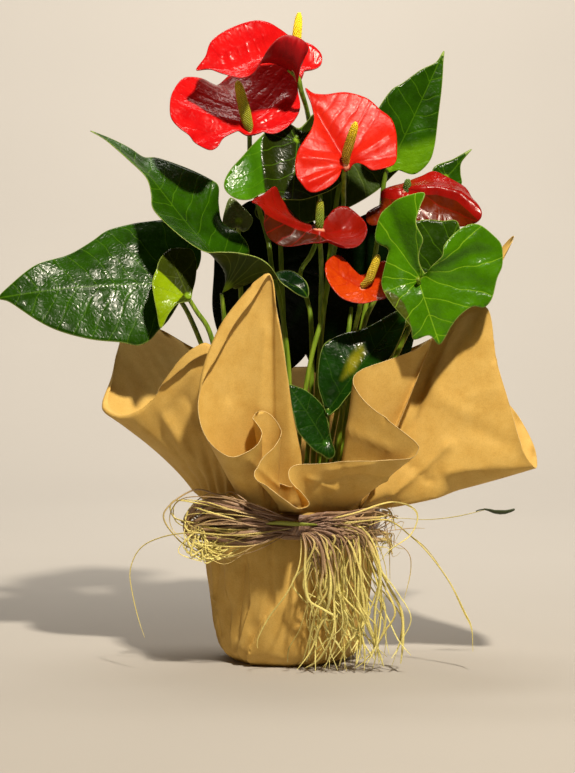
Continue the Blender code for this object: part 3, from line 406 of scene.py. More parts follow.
def raffia_material():
    """Natural raffia: satin strips with long fibres, from pale straw to taupe and green by strand and along
    it; the taupe, on the band and towards the knot, is partly the raffia's own tone and partly painted shade.
    """
    made, tree, shader = new_material("natural_raffia", 0.5)
    tone = add(tree, "ShaderNodeAttribute", {"attribute_name": "tone"})
    colours = ramp(tree, tone.outputs["Fac"], [(0.0, "6E5446"), (0.2, "94745E"), (0.4, "B89A72"),
                                               (0.65, "DCCB78"), (0.85, "EFE388"), (0.93, "F4EC9C"),
                                               (0.97, "7E8A1E"), (1.0, "2E3A12")])
    place = add(tree, "ShaderNodeTexCoord").outputs["Object"]
    fibre = add(tree, "ShaderNodeTexNoise", None, {"Vector": place, "Scale": 700.0, "Detail": 2.0})
    shade = ramp(tree, fibre, [(0.3, "C8C8C8"), (0.65, "FFFFFF")])
    paint(tree, shader, colours, shade, 0.7)
    emboss(tree, shader, fibre, 0.5, 0.0004)
    return made


def spadix_material(name, foot, middle, tip):
    """Waxy florets, greener at the foot and yellower at the tip."""
    made, tree, shader = new_material(name, 0.42)
    along = add(tree, "ShaderNodeAttribute", {"attribute_name": "along"})
    tone = ramp(tree, along.outputs["Fac"], [(0.0, foot), (0.5, middle), (0.85, tip), (1.0, tip)])
    place = add(tree, "ShaderNodeTexCoord").outputs["Object"]
    fleck = add(tree, "ShaderNodeTexNoise", None, {"Vector": place, "Scale": 500.0, "Detail": 2.0})
    shade = ramp(tree, fleck, [(0.3, "C0B090"), (0.6, "FFFFFF")])
    paint(tree, shader, tone, shade, 0.6)
    return made


def stem_material():
    """Satin green stem skin with faint long streaks."""
    made, tree, shader = new_material("anthurium_stem", 0.38)
    place = add(tree, "ShaderNodeTexCoord").outputs["Object"]
    long_way = add(tree, "ShaderNodeMapping", None, {"Vector": place, "Scale": (260.0, 260.0, 14.0)})
    streaks = add(tree, "ShaderNodeTexNoise", None, {"Vector": long_way, "Scale": 1.0, "Detail": 3.0})
    tone = ramp(tree, streaks, [(0.3, "4E6C12"), (0.55, "738E20"), (0.75, "95A934")])
    tree.links.new(tone.outputs[0], shader.inputs["Base Color"])
    emboss(tree, shader, streaks, 0.3, 0.0003)
    return made


def rim_material(name, colour, roughness):
    """The cut-thin edge of a blade or of the paper, paler or darker than its faces; the paper's paler edge is
    a painted highlight.
    """
    made, tree, shader = new_material(name, roughness)
    place = add(tree, "ShaderNodeTexCoord").outputs["Object"]
    patches = add(tree, "ShaderNodeTexNoise", None, {"Vector": place, "Scale": 80.0, "Detail": 2.0})
    shade = ramp(tree, patches, [(0.3, "A0A0A0"), (0.6, "FFFFFF")])
    paint(tree, shader, linear(colour), shade, 0.6)
    return made


def peat_material():
    """Moist peat: dark, matt and crumbly."""
    made, tree, shader = new_material("moist_peat", 0.95, 1.4)
    place = add(tree, "ShaderNodeTexCoord").outputs["Object"]
    crumbs = add(tree, "ShaderNodeTexNoise", None, {"Vector": place, "Scale": 350.0, "Detail": 8.0,
                                                    "Roughness": 0.7})
    tone = ramp(tree, crumbs, [(0.35, "150D08"), (0.55, "2E2015"), (0.75, "5A4330")])
    tree.links.new(tone.outputs[0], shader.inputs["Base Color"])
    emboss(tree, shader, crumbs, 1.0, 0.002)
    return made


def pot_material():
    """Thin injection-moulded polypropylene, black, with a faint satin grain."""
    made, tree, shader = new_material("moulded_black_polypropylene", 0.45, 1.49)
    place = add(tree, "ShaderNodeTexCoord").outputs["Object"]
    grain = add(tree, "ShaderNodeTexNoise", None, {"Vector": place, "Scale": 800.0, "Detail": 2.0})
    tone = ramp(tree, grain, [(0.3, "121212"), (0.7, "1E1E1E")])
    tree.links.new(tone.outputs[0], shader.inputs["Base Color"])
    emboss(tree, shader, grain, 0.4, 0.0002)
    return made


# Meshes


def mesh_object(name, points, faces, materials, groups=None, maps=None, values=None):
    """An object from points in millimetres, with a material for each face group, a UV map and values."""
    mesh = bpy.data.meshes.new(name)
    mesh.from_pydata([tuple(p) for p in np.array([tuple(p) for p in points]) * MM], [], faces)
    for m in materials:
        mesh.materials.append(m)
    if groups is not None:
        mesh.polygons.foreach_set("material_index", groups)
    if maps is not None:
        layer = mesh.uv_layers.new(name="blade")
        corners = np.zeros(len(mesh.loops), int)
        mesh.loops.foreach_get("vertex_index", corners)
        layer.data.foreach_set("uv", np.array(maps)[corners].astype(np.float32).ravel())
    for key, numbers in (values or {}).items():
        layer = mesh.attributes.new(key, "FLOAT", "POINT")
        layer.data.foreach_set("value", np.array(numbers, np.float32))
    mesh.shade_smooth()
    made = bpy.data.objects.new(name, mesh)
    bpy.context.scene.collection.objects.link(made)
    return made


def place_piece(piece, nodes):
    """Fixes a finished piece to the frame in place of its CAD nodes."""
    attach(piece, "root")
    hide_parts(*nodes)


def point_normals(points, triangles):
    """Each point's normal, from the faces round it."""
    p, t = np.array(points), np.array(triangles)
    faces = np.cross(p[t[:, 1]] - p[t[:, 0]], p[t[:, 2]] - p[t[:, 0]])
    normals = np.zeros_like(p)
    for corner in range(3):
        np.add.at(normals, t[:, corner], faces)
    return normals / np.maximum(np.linalg.norm(normals, axis=1), 1e-9)[:, None]


def sheet_shell(points, triangles, thickness, flat=()):
    """A closed thin shell from an open surface: points, faces, and their groups: 0 top, 1 bottom, 2 edge."""
    p = np.array(points)
    normals = point_normals(p, triangles)
    for i in flat:
        normals[i] = (0.0, 0.0, 1.0)
    both = np.concatenate([p + normals * thickness / 2, p - normals * thickness / 2])
    count = len(p)
    edges = {(t[i], t[(i + 1) % 3]) for t in triangles for i in range(3)}
    faces = [tuple(t) for t in triangles] + [(c + count, b + count, a + count) for a, b, c in triangles]
    groups = [0] * len(triangles) + [1] * len(triangles)
    for a, b in sorted(edges):
        if (b, a) not in edges:
            faces.append((b, a, a + count, b + count))
            groups.append(2)
    return both, faces, groups


def blade_surface(hub, rim, droop, step):
    """A blade's open surface, finer than in the frame: points, triangles, flat places and rim distances."""
    count = len(rim)
    face = sum(((rim[i - 1] - hub).cross(rim[i] - hub) for i in range(count)), Vector()).normalized()
    first = (rim[0] - hub - face * face.dot(rim[0] - hub)).normalized()
    side = face.cross(first)
    axes = np.array([first, side, face])
    local = (np.array([tuple(r) for r in rim]) - np.array(hub)) @ axes.T
    flat, heights = local[:, :2], local[:, 2]
    reach = np.linalg.norm(flat, axis=1).max()
    spots = [(0.0, 0.0)]
    for ring in range(1, int(reach / step) + 2):
        for k in range(6 * ring):
            turn = 2 * math.pi * (k + 0.5 * (ring % 2)) / (6 * ring)
            spots.append((math.cos(turn) * ring * step, math.sin(turn) * ring * step))
    spots = np.array(spots)
    within, near = outline_gap(spots, flat)
    kept = within & (near > RIM_CLEARANCE * step)
    kept[0] = True
    spots, near = spots[kept], near[kept]
    gaps = flat[None, :, :] - spots[:, None, :]
    after = np.roll(gaps, -1, axis=1)
    cross = gaps[:, :, 0] * after[:, :, 1] - gaps[:, :, 1] * after[:, :, 0]
    half = np.tan(np.arctan2(cross, (gaps * after).sum(2)) / 2)
    weights = (np.roll(half, 1, axis=1) + half) / np.maximum(np.linalg.norm(gaps, axis=2), 1e-6)
    blended = (weights @ heights) / weights.sum(1)
    part = np.linalg.norm(spots, axis=1)
    part = part / (part + near)
    height = blended - blended[0] * (1 - part) ** 2
    inner = np.array(hub) + np.column_stack([spots, height]) @ axes
    inner[:, 2] -= droop * 4 * part * (1 - part)
    points = np.concatenate([np.array([tuple(r) for r in rim]), inner])
    places = np.concatenate([flat, spots])
    rim_gap = np.concatenate([np.zeros(count), near])
    made = delaunay_2d_cdt([Vector(p) for p in places], [], [list(range(count))], 1, 1e-5)
    assert len(made[0]) == len(points), "an outline crosses itself in its plane"
    return points, [tuple(t) for t in made[2]], places, rim_gap


def creased(points, triangles, folds, roundness):
    """Raises a surface towards the front along lines (x, z) as seen: each fold is its line, width and depth.

    roundness is 1 for a sharp crease and 2 for a soft one.
    """
    points = np.array([tuple(p) for p in points])
    normals = point_normals(points, triangles)
    normals[normals[:, 1] > 0] *= -1
    spots = as_seen(points)
    moved = points.copy()
    for line, width, depth in folds:
        corners = np.array(line, float)
        gap = np.min([run_gap(spots, a, b) for a, b in zip(corners[:-1], corners[1:])], axis=0)
        moved += normals * (depth * np.exp(-(gap / width) ** roundness))[:, None]
    return moved


def puffed(points, triangles, places, rim_gap, spacing, depth):
    """Raises the surface a little between its veins, as on a quilted leaf, and sinks its midrib."""
    u, v = places[:, 0], np.abs(places[:, 1])
    lead = u - VEIN_LEAN * v
    front = lead / spacing
    back = (np.arctan2(v, u) - VEIN_TURN) / VEIN_FAN
    count = np.where(lead > 0, front, back)
    raised = np.sqrt(np.abs(np.sin(math.pi * count))) * (0.55 + 0.45 * np.sin(0.09 * u + 0.13 * v + 1.0))
    raised += 0.4 * np.sin(0.21 * u - 0.16 * v) * np.sin(0.14 * u + 0.19 * v + 2.0)
    midrib = np.clip(v / 5.0, 0, 1)
    fade = np.clip(rim_gap / 8.0, 0, 1) * np.clip(np.hypot(u, v) / 14.0, 0, 1)
    groove = np.where(u > 0, 0.9 * np.exp(-(v / 4.0) ** 2), 0.0)
    return points + point_normals(points, triangles) * (depth * (raised * midrib - groove) * fade)[:, None]


def tube_shell(path, radii, sides, offset=0):
    """A closed round tube along a path: points and faces, numbered from offset."""
    points, faces, side = [], [], None
    for i, p in enumerate(path):
        ahead = (path[min(i + 1, len(path) - 1)] - path[max(i - 1, 0)]).normalized()
        if side is None:
            side = ahead.orthogonal().normalized()
        side = (side - ahead * side.dot(ahead)).normalized()
        other = ahead.cross(side)
        for k in range(sides):
            turn = 2 * math.pi * k / sides
            points.append(p + (side * math.cos(turn) + other * math.sin(turn)) * radii[i])
    for i in range(len(path) - 1):
        for k in range(sides):
            a, b = offset + i * sides + k, offset + i * sides + (k + 1) % sides
            faces.append((a, b, b + sides, a + sides))
    last = offset + (len(path) - 1) * sides
    faces.append(tuple(range(offset + sides - 1, offset - 1, -1)))
    faces.append(tuple(range(last, last + sides)))
    return points, faces


# Blooms: the hub is where spathe, stalk and spadix meet, the rim starts at the tip of the spathe
BLOOMS = {
    "flower_1": {
        "hub": (4, 588, -12),
        "rim": [
            (-92, 587, -30), (-83, 600, -22), (-77, 615, -10), (-60, 627, 2), (-37, 635, 12), (-22, 634, 18),
            (-9, 627, 22), (4, 618, 26), (17, 614, 30), (25, 610, 30), (32, 602, 28), (32, 593, 24),
            (26, 588, 18), (16, 587, 8), (14, 583, -2), (10, 581, -10), (11, 589, -22), (15, 598, -32),
            (19, 608, -40), (14, 616, -43), (2, 621, -45), (-9, 619, -47), (-19, 610, -50), (-27, 596, -52),
            (-35, 584, -50), (-47, 579, -46), (-65, 583, -42), (-80, 588, -36)],
        "droop": 14,
        "spadix": ((5, 593, -14), (10, 643, 4), 4.6),
        "stalk": [(9, 579, -14), (12, 566, -8), (17, 550, 8), (21, 530, 27), (26, 500, 32), (31, 459, 32),
                  (31, 430, 26), (22, 405, 17), (11, 386, 9), (17, 363, 0), (22, 335, -6), (22, 260, -8),
                  (16, 180, -6), (12, 140, -4)],
    },
    "flower_2": {
        "hub": (-39, 527, 5),
        "rim": [
            (-69, 573, 60), (-52, 587, 66), (-25, 597, 62), (-5, 595, 52), (7, 584, 40), (9, 565, 24),
            (11, 550, 12), (5, 537, 0), (-7, 527, -8), (-17, 524, -10), (-28, 526, -6), (-35, 525, -3),
            (-43, 524, -4), (-50, 527, -10), (-64, 521, -20), (-71, 511, -26), (-79, 508, -30),
            (-91, 514, -34), (-98, 522, -34), (-109, 530, -32), (-117, 540, -26), (-118, 554, -18),
            (-115, 566, -6), (-106, 578, 8), (-96, 580, 20), (-85, 578, 34), (-75, 573, 48)],
        "droop": 4,
        "spadix": ((-40, 530, 0), (-51, 576, -12), 5.5),
        "stalk": [(-38, 489, 20), (-31, 454, 21), (-21, 419, 9), (-17, 391, -2), (-9, 359, -14),
                  (-1, 299, -18), (2, 220, -16), (0, 140, -14)],
    },
    "flower_3": {
        "hub": (56, 496, -46),
        "rim": [
            (16, 569, -22), (24, 564, -20), (37, 563, -18), (56, 565, -16), (77, 559, -17), (90, 548, -20),
            (101, 539, -24), (106, 525, -30), (107, 504, -42), (105, 495, -48), (98, 491, -52),
            (83, 488, -53), (74, 493, -50), (66, 494, -46), (58, 489, -43), (53, 488, -47), (51, 484, -52),
            (46, 477, -58), (37, 470, -62), (25, 466, -64), (18, 468, -64), (12, 475, -63), (7, 483, -61),
            (6, 496, -56), (9, 508, -50), (15, 518, -44), (22, 529, -38), (25, 541, -32), (22, 553, -27)],
        "droop": 3,
        "spadix": ((55, 498, -50), (66, 535, -74), 4.5),
        "stalk": [(54, 470, -16), (54, 454, 4), (50, 430, 8), (44, 405, -6), (41, 389, -18), (37, 366, -28),
                  (32, 339, -36), (22, 301, -41), (12, 240, -39), (8, 190, -36), (6, 140, -34)],
    },
    "flower_4": {
        "hub": (30, 428, -42),
        "rim": [
            (-39, 455, -62), (-26, 464, -50), (-14, 472, -40), (-8, 461, -36), (0, 449, -33), (9, 437, -32),
            (20, 432, -30), (31, 434, -28), (38, 443, -22), (46, 451, -17), (56, 453, -15), (66, 448, -17),
            (75, 439, -24), (77, 429, -34), (73, 419, -46), (66, 413, -56), (56, 412, -60), (46, 415, -62),
            (36, 420, -63), (26, 419, -63), (12, 414, -62), (-6, 413, -61), (-19, 420, -62), (-25, 432, -64),
            (-28, 444, -64)],
        "droop": 6,
        "spadix": ((30, 431, -46), (31, 459, -50), 4.0),
        "stalk": [(32, 389, -18), (31, 313, -13), (32, 259, -17), (30, 200, -19), (28, 140, -20)],
    },
    "flower_5": {
        "hub": (73, 372, -56),
        "rim": [
            (37, 397, -58), (46, 404, -50), (54, 401, -46), (65, 389, -47), (73, 384, -48), (84, 392, -45),
            (93, 398, -46), (103, 396, -52), (108, 386, -60), (106, 372, -67), (97, 362, -72),
            (87, 359, -76), (71, 356, -78), (53, 361, -76), (41, 374, -71), (36, 386, -65)],
        "droop": 4,
        "spadix": ((78, 376, -61), (89, 404, -68), 4.0),
        "stalk": [(70, 350, -38), (65, 328, -26), (58, 290, -20), (50, 220, -20), (44, 140, -18)],
    },
    "flower_6": {
        "hub": (115, 458, 2),
        "rim": [
            (77, 445, -6), (93, 450, 2), (104, 462, 10), (121, 476, 14), (132, 482, 16), (143, 487, 16),
            (155, 482, 16), (170, 473, 14), (177, 466, 10), (180, 455, 4), (187, 435, -8), (170, 432, -12),
            (150, 434, -15), (131, 437, -17), (112, 442, -12), (96, 436, -14), (80, 434, -12)],
        "droop": -6,
        "spadix": ((116, 462, -2), (118, 479, -8), 4.0),
        "stalk": [(112, 425, 14), (106, 395, 14), (83, 355, 4), (74, 332, -2), (62, 270, -4), (50, 200, -4),
                  (42, 140, -2)],
    },
}

# Spadix from foot to tip: how far along it, and its radius as a part of the widest
SPADIX_SHAPE = [(0.0, 0.5), (0.04, 0.66), (0.14, 0.92), (0.35, 1.0), (0.55, 0.94), (0.75, 0.84), (0.9, 0.66),
                (1.0, 0.2)]
SPADIX_LEAD = 1.2
SPADIX_STEP = 1.0
SPADIX_SIDES = 24

# Florets: their spacing, size and turn along the spiral, and the core's share of the radius under them
FLORET_PITCH = 1.7
FLORET_R = 0.98
FLORET_TURN = math.radians(137.508)
CORE_SHARE = 0.9

# Leaves: the hub is where the petiole meets the blade, the rim starts at the blade's tip
LEAVES = {
    "leaf_01": {
        "hub": (-114, 367, -5),
        "rim": [
            (-289, 361, -30), (-280, 372, -26), (-252, 394, -15), (-220, 404, 0), (-197, 417, 10),
            (-181, 428, 18), (-160, 434, 26), (-142, 437, 30), (-118, 438, 32), (-98, 428, 30),
            (-88, 410, 24), (-90, 392, 14), (-102, 377, 4), (-106, 364, -4), (-112, 352, -14),
            (-121, 338, -22), (-130, 329, -28), (-139, 319, -32), (-151, 314, -34), (-167, 317, -36),
            (-197, 320, -38), (-228, 328, -38), (-251, 339, -36), (-278, 357, -32)],
        "droop": -9,
        "petiole": [(-100, 345, 4), (-82, 300, 14), (-62, 230, 16), (-50, 170, 14), (-50, 140, 14)],
    },
    "leaf_02": {
        "hub": (-67, 366, -30),
        "rim": [
            (-197, 527, 20), (-182, 518, 14), (-159, 498, 0), (-142, 481, -12), (-137, 465, -22),
            (-136, 452, -32), (-128, 441, -42), (-113, 427, -52), (-96, 414, -56), (-82, 407, -66),
            (-67, 407, -70), (-49, 406, -68), (-30, 401, -76), (-18, 392, -76), (-9, 378, -62),
            (0, 371, -64), (10, 364, -56), (19, 362, -52), (18, 376, -50), (7, 386, -40), (-3, 389, -40),
            (-14, 386, -38), (-35, 378, -22), (-55, 371, -12), (-44, 390, -8), (-40, 410, 10),
            (-50, 426, 10), (-66, 436, 18), (-70, 455, 20), (-70, 472, 22), (-78, 479, 23), (-101, 490, 26),
            (-130, 500, 26), (-144, 501, 24), (-158, 510, 23), (-176, 519, 22)],
        "droop": 4,
        "petiole": [(-65, 345, -24), (-63, 325, -18), (-52, 280, -10), (-40, 210, -6), (-30, 170, -6),
                    (-30, 140, -6)],
    },
    "leaf_03": {
        "hub": (-101, 363, -36),
        "rim": [
            (-122, 408, -22), (-113, 411, -18), (-104, 411, -16), (-96, 409, -16), (-92, 396, -20),
            (-93, 380, -26), (-96, 368, -33), (-98, 359, -40), (-105, 357, -45), (-112, 355, -49),
            (-120, 345, -53), (-128, 331, -55), (-132, 349, -53), (-135, 365, -51), (-136, 378, -47),
            (-132, 390, -41), (-129, 399, -34)],
        "droop": 0,
        "petiole": [(-92, 348, -34), (-79, 327, -33), (-68, 280, -36), (-60, 220, -36), (-53, 170, -32),
                    (-52, 140, -30)],
    },
    "leaf_04": {
        "hub": (-50, 436, 34),
        "rim": [
            (-58, 461, 40), (-64, 448, 38), (-66, 434, 35), (-60, 428, 32), (-52, 431, 32), (-46, 427, 32),
            (-40, 430, 33), (-36, 440, 36), (-46, 452, 39)],
        "droop": -2,
        "petiole": [(-50, 420, 37), (-46, 330, 34), (-36, 200, 30), (-34, 140, 28)],
    },
    "leaf_05": {
        "hub": (8, 522, 8),
        "rim": [
            (3, 459, -32), (-13, 460, -35), (-28, 462, -37), (-39, 459, -37), (-49, 459, -36),
            (-58, 463, -34), (-64, 470, -31), (-64, 478, -27), (-58, 489, -21), (-48, 500, -14),
            (-34, 515, -6), (-22, 526, 1), (-10, 532, 7), (0, 534, 11), (9, 530, 13), (17, 536, 14),
            (26, 544, 14), (42, 536, 12), (54, 520, 6), (60, 500, -2), (56, 482, -10), (44, 470, -18),
            (28, 463, -24), (14, 459, -29)],
        "droop": 5,
        "petiole": [(0, 500, 22), (-8, 450, 31), (-8, 400, 30), (-6, 350, 24), (-2, 240, 20), (0, 140, 18)],
    },
    "leaf_06": {
        "hub": (60, 500, 52),
        "rim": [
            (-34, 448, 52), (-24, 436, 48), (1, 432, 45), (31, 440, 43), (61, 452, 42), (86, 467, 42),
            (102, 482, 43), (112, 494, 46), (104, 508, 52), (86, 520, 58), (68, 520, 60), (58, 510, 58),
            (46, 520, 61), (26, 514, 62), (2, 492, 60), (-20, 470, 56)],
        "droop": -4,
        "petiole": [(52, 480, 40), (46, 450, 34), (40, 400, 34), (30, 300, 26), (24, 200, 24), (24, 140, 24)],
    },
    "leaf_07": {
        "hub": (99, 494, 28),
        "rim": [
            (154, 606, 45), (146, 595, 42), (130, 587, 38), (112, 574, 34), (102, 568, 30), (92, 555, 26),
            (84, 540, 22), (80, 520, 20), (84, 503, 22), (93, 494, 26), (99, 486, 28), (108, 488, 29),
            (124, 484, 29), (138, 495, 31), (144, 511, 34), (148, 543, 38), (151, 568, 41), (153, 592, 44)],
        "droop": 3,
        "petiole": [(94, 475, 34), (88, 420, 37), (70, 320, 33), (48, 220, 28), (42, 140, 26)],
    },
    "leaf_08": {
        "hub": (155, 482, 40),
        "rim": [
            (181, 509, 46), (162, 499, 44), (146, 493, 40), (142, 486, 38), (148, 477, 38), (154, 475, 39),
            (160, 468, 40), (171, 474, 42), (170, 485, 44), (171, 496, 45)],
        "droop": 2,
        "petiole": [(152, 460, 46), (132, 380, 50), (92, 280, 44), (66, 200, 32), (58, 140, 28)],
    },
    "leaf_09": {
        "hub": (128, 381, -92),
        "rim": [
            (150, 315, -90), (140, 324, -92), (124, 320, -92), (121, 333, -97), (112, 344, -97),
            (104, 353, -96), (95, 366, -92), (92, 375, -86), (93, 384, -83), (97, 401, -81), (98, 410, -80),
            (86, 418, -80), (87, 433, -80), (91, 445, -82), (100, 454, -84), (111, 461, -87),
            (134, 466, -90), (130, 452, -95), (126, 436, -97), (133, 420, -96), (130, 410, -93),
            (128, 399, -91), (130, 389, -91), (135, 385, -93), (143, 393, -97), (151, 403, -99),
            (153, 413, -98), (163, 425, -92), (175, 433, -86), (183, 435, -84), (191, 433, -82),
            (202, 424, -80), (211, 413, -80), (212, 394, -84), (207, 381, -88), (202, 361, -90),
            (194, 352, -90), (183, 353, -92), (171, 345, -94), (162, 334, -93)],
        "droop": 0,
        "petiole": [(130, 374, -78), (134, 366, -60), (130, 350, -28), (104, 320, 0), (84, 270, 6),
                    (66, 200, 4), (56, 140, 2)],
    },
    "leaf_10": {
        "hub": (146, 386, -36),
        "rim": [
            (168, 436, -32), (152, 438, -30), (133, 439, -31), (119, 432, -33), (113, 410, -36),
            (118, 394, -38), (128, 382, -40), (144, 374, -42), (160, 384, -40), (170, 404, -36)],
        "droop": 2,
        "petiole": [(142, 372, -22), (124, 340, 8), (92, 270, 20), (68, 200, 18), (60, 140, 16)],
    },
    "leaf_11": {
        "hub": (39, 252, -54),
        "rim": [
            (114, 352, -36), (104, 348, -33), (88, 338, -33), (72, 330, -34), (55, 326, -38), (41, 320, -42),
            (33, 312, -46), (29, 292, -50), (29, 274, -54), (33, 260, -56), (38, 245, -57), (47, 250, -60),
            (58, 264, -61), (81, 289, -59), (99, 300, -55), (111, 322, -49), (116, 339, -42)],
        "droop": 4,
        "petiole": [(38, 236, -50), (35, 190, -44), (32, 140, -38)],
    },
    "leaf_12": {
        "hub": (36, 214, -64),
        "rim": [
            (-1, 274, -60), (8, 273, -59), (17, 269, -57), (27, 261, -55), (35, 251, -54), (39, 236, -56),
            (42, 220, -61), (46, 206, -66), (40, 200, -69), (32, 205, -70), (25, 209, -71), (14, 221, -71),
            (8, 230, -70), (5, 243, -68), (1, 258, -64)],
        "droop": -3,
        "petiole": [(34, 198, -59), (26, 165, -51), (20, 140, -46)],
    },
    "leaf_13": {
        "hub": (-20, 385, 62),
        "rim": [
            (-20, 282, 80), (-44, 292, 78), (-66, 316, 74), (-76, 348, 70), (-75, 384, 66), (-72, 416, 68),
            (-58, 442, 72), (-38, 458, 74), (-18, 452, 74), (0, 458, 76), (18, 448, 74), (30, 420, 72),
            (33, 384, 72), (30, 348, 74), (22, 314, 77), (4, 292, 80)],
        "droop": -5,
        "petiole": [(-20, 368, 54), (-18, 300, 50), (-15, 200, 44), (-14, 140, 40)],
    },
    "leaf_14": {
        "hub": (62, 352, 78),
        "rim": [
            (62, 262, 98), (92, 272, 94), (116, 296, 90), (126, 330, 88), (128, 366, 86), (124, 404, 86),
            (108, 434, 88), (84, 446, 90), (62, 440, 88), (40, 448, 88), (22, 430, 87), (10, 396, 87),
            (6, 352, 90), (14, 312, 93), (34, 276, 97)],
        "droop": -5,
        "petiole": [(60, 335, 70), (50, 260, 62), (36, 190, 50), (30, 140, 44)],
    },
}

# Flared rim of the wrap from the front round the right, the back and the left: point, and neck angle in
# degrees
COLLAR = [
    ((0, 172, -92), 270), ((40, 176, -90), 292), ((72, 186, -80), 305), ((90, 228, -56), 311),
    ((116, 290, -36), 317), ((170, 344, -24), 325), ((197, 350, -56), 329), ((206, 299, -66), 331),
    ((219, 255, -72), 334), ((232, 211, -82), 337), ((244, 192, -82), 341), ((247, 196, -64), 346),
    ((243, 215, -30), 352), ((228, 243, -4), 358), ((206, 272, 24), 5), ((190, 310, 48), 12),
    ((190, 350, 62), 17), ((206, 386, 70), 20), ((223, 422, 76), 22), ((204, 402, 88), 27),
    ((176, 360, 104), 36),
    ((140, 320, 122), 50), ((80, 300, 138), 68), ((0, 292, 145), 90), ((-80, 305, 134), 112),
    ((-130, 330, 104), 132), ((-160, 332, 70), 148), ((-170, 310, 40), 160), ((-176, 281, 16), 168),
    ((-185, 256, -8), 176), ((-183, 246, -26), 182), ((-168, 240, -42), 188), ((-152, 244, -52), 193),
    ((-139, 253, -56), 198), ((-131, 266, -60), 203), ((-117, 286, -66), 209), ((-106, 300, -70), 215),
    ((-92, 311, -74), 221), ((-78, 313, -76), 227), ((-62, 285, -76), 234), ((-52, 235, -78), 242),
    ((-36, 190, -86), 254),
]

# Ruffled front edge of the wrap, from the tall lobe's right side to the cone: point, and foot (x, y) in the
# neck
RUFFLE = [
    ((12, 205, -92), (14, -77)), ((4, 244, -104), (8, -78)), ((-1, 279, -114), (2, -78)),
    ((-7, 319, -120), (-4, -78)), ((-13, 352, -121), (-10, -78)), ((-19, 383, -119), (-15, -78)),
    ((-39, 369, -117), (-20, -78)),
    ((-64, 339, -115), (-26, -76)), ((-77, 314, -116), (-30, -74)), ((-86, 289, -118), (-34, -72)),
    ((-90, 264, -121), (-38, -71)), ((-90, 244, -126), (-41, -72)), ((-84, 224, -132), (-40, -75)),
    ((-71, 209, -136), (-36, -77)), ((-57, 202, -137), (-32, -78)), ((-44, 206, -135), (-29, -79)),
    ((-32, 214, -131), (-26, -80)), ((-27, 226, -125), (-24, -80)), ((-32, 236, -117), (-22, -80)),
    ((-36, 243, -111), (-20, -80)), ((-30, 249, -105), (-17, -80)), ((-18, 244, -103), (-14, -80)),
    ((-8, 228, -108), (-11, -81)), ((-14, 213, -120), (-9, -82)), ((-25, 202, -130), (-8, -83)),
    ((-34, 189, -136), (-7, -83)), ((-33, 180, -139), (-5, -83)), ((-22, 173, -142), (-2, -83)),
    ((-5, 160, -146), (2, -83)), ((9, 151, -148), (6, -83)), ((20, 155, -146), (9, -82)),
    ((12, 167, -138), (12, -82)), ((2, 177, -130), (15, -81)), ((0, 188, -124), (18, -81)),
    ((8, 194, -118), (22, -80)), ((30, 195, -114), (30, -78)), ((61, 198, -112), (40, -74)),
    ((95, 199, -114), (50, -69)), ((121, 201, -118), (56, -65)), ((128, 208, -119), (58, -63)),
    ((126, 217, -119), (58, -61)), ((94, 242, -112), (54, -60)), ((76, 257, -106), (48, -61)),
    ((66, 271, -98), (44, -62)), ((64, 281, -88), (42, -60)), ((72, 289, -78), (44, -56)),
    ((91, 296, -70), (50, -53)), ((126, 309, -62), (60, -48)), ((141, 318, -58), (66, -44)),
    ((131, 290, -60), (69, -45)), ((120, 262, -64), (70, -47)), ((108, 233, -70), (71, -49)),
]

# Bow: left and right loops, and the long loose strands, in true positions
LOOPS = [
    [(0, -104, 150), (-44, -112, 160), (-84, -100, 170), (-112, -84, 165), (-108, -84, 150), (-84, -94, 142),
     (-40, -108, 140), (0, -104, 142)],
    [(0, -106, 147), (-40, -116, 152), (-76, -106, 162), (-100, -94, 158), (-98, -94, 142), (-70, -104, 134),
     (-36, -112, 134), (0, -106, 140)],
    [(0, -105, 145), (-36, -118, 146), (-70, -112, 152), (-92, -102, 146), (-88, -100, 126), (-60, -108, 122),
     (-30, -112, 130), (0, -105, 141)],
    [(2, -106, 152), (-30, -116, 166), (-66, -112, 176), (-96, -98, 176), (-116, -88, 160), (-112, -86, 136),
     (-92, -92, 122), (-62, -104, 114), (-30, -110, 126), (2, -106, 140)],
    [(16, -104, 150), (50, -110, 156), (82, -92, 158), (100, -78, 150), (92, -82, 140), (60, -102, 138),
     (16, -104, 142)],
]
LOOSE = [
    [(4, -106, 144), (-50, -114, 139), (-98, -98, 138), (-128, -86, 132), (-146, -80, 120), (-153, -78, 100),
     (-152, -78, 78), (-145, -80, 52), (-140, -82, 34)],
    [(16, -104, 146), (62, -104, 150), (96, -86, 150), (118, -78, 134), (136, -74, 116), (156, -74, 88),
     (171, -76, 58), (178, -78, 42), (179, -80, 20)],
    [(16, -104, 143), (64, -102, 144), (98, -86, 152), (134, -76, 150), (164, -72, 152), (192, -70, 158)],
    [(12, -106, 138), (10, -116, 110), (-2, -114, 82), (-18, -104, 58), (-31, -98, 34), (-30, -96, 26)],
    [(16, -104, 148), (60, -106, 158), (100, -88, 168), (124, -80, 156), (120, -80, 136), (96, -90, 120),
     (84, -94, 104)],
]
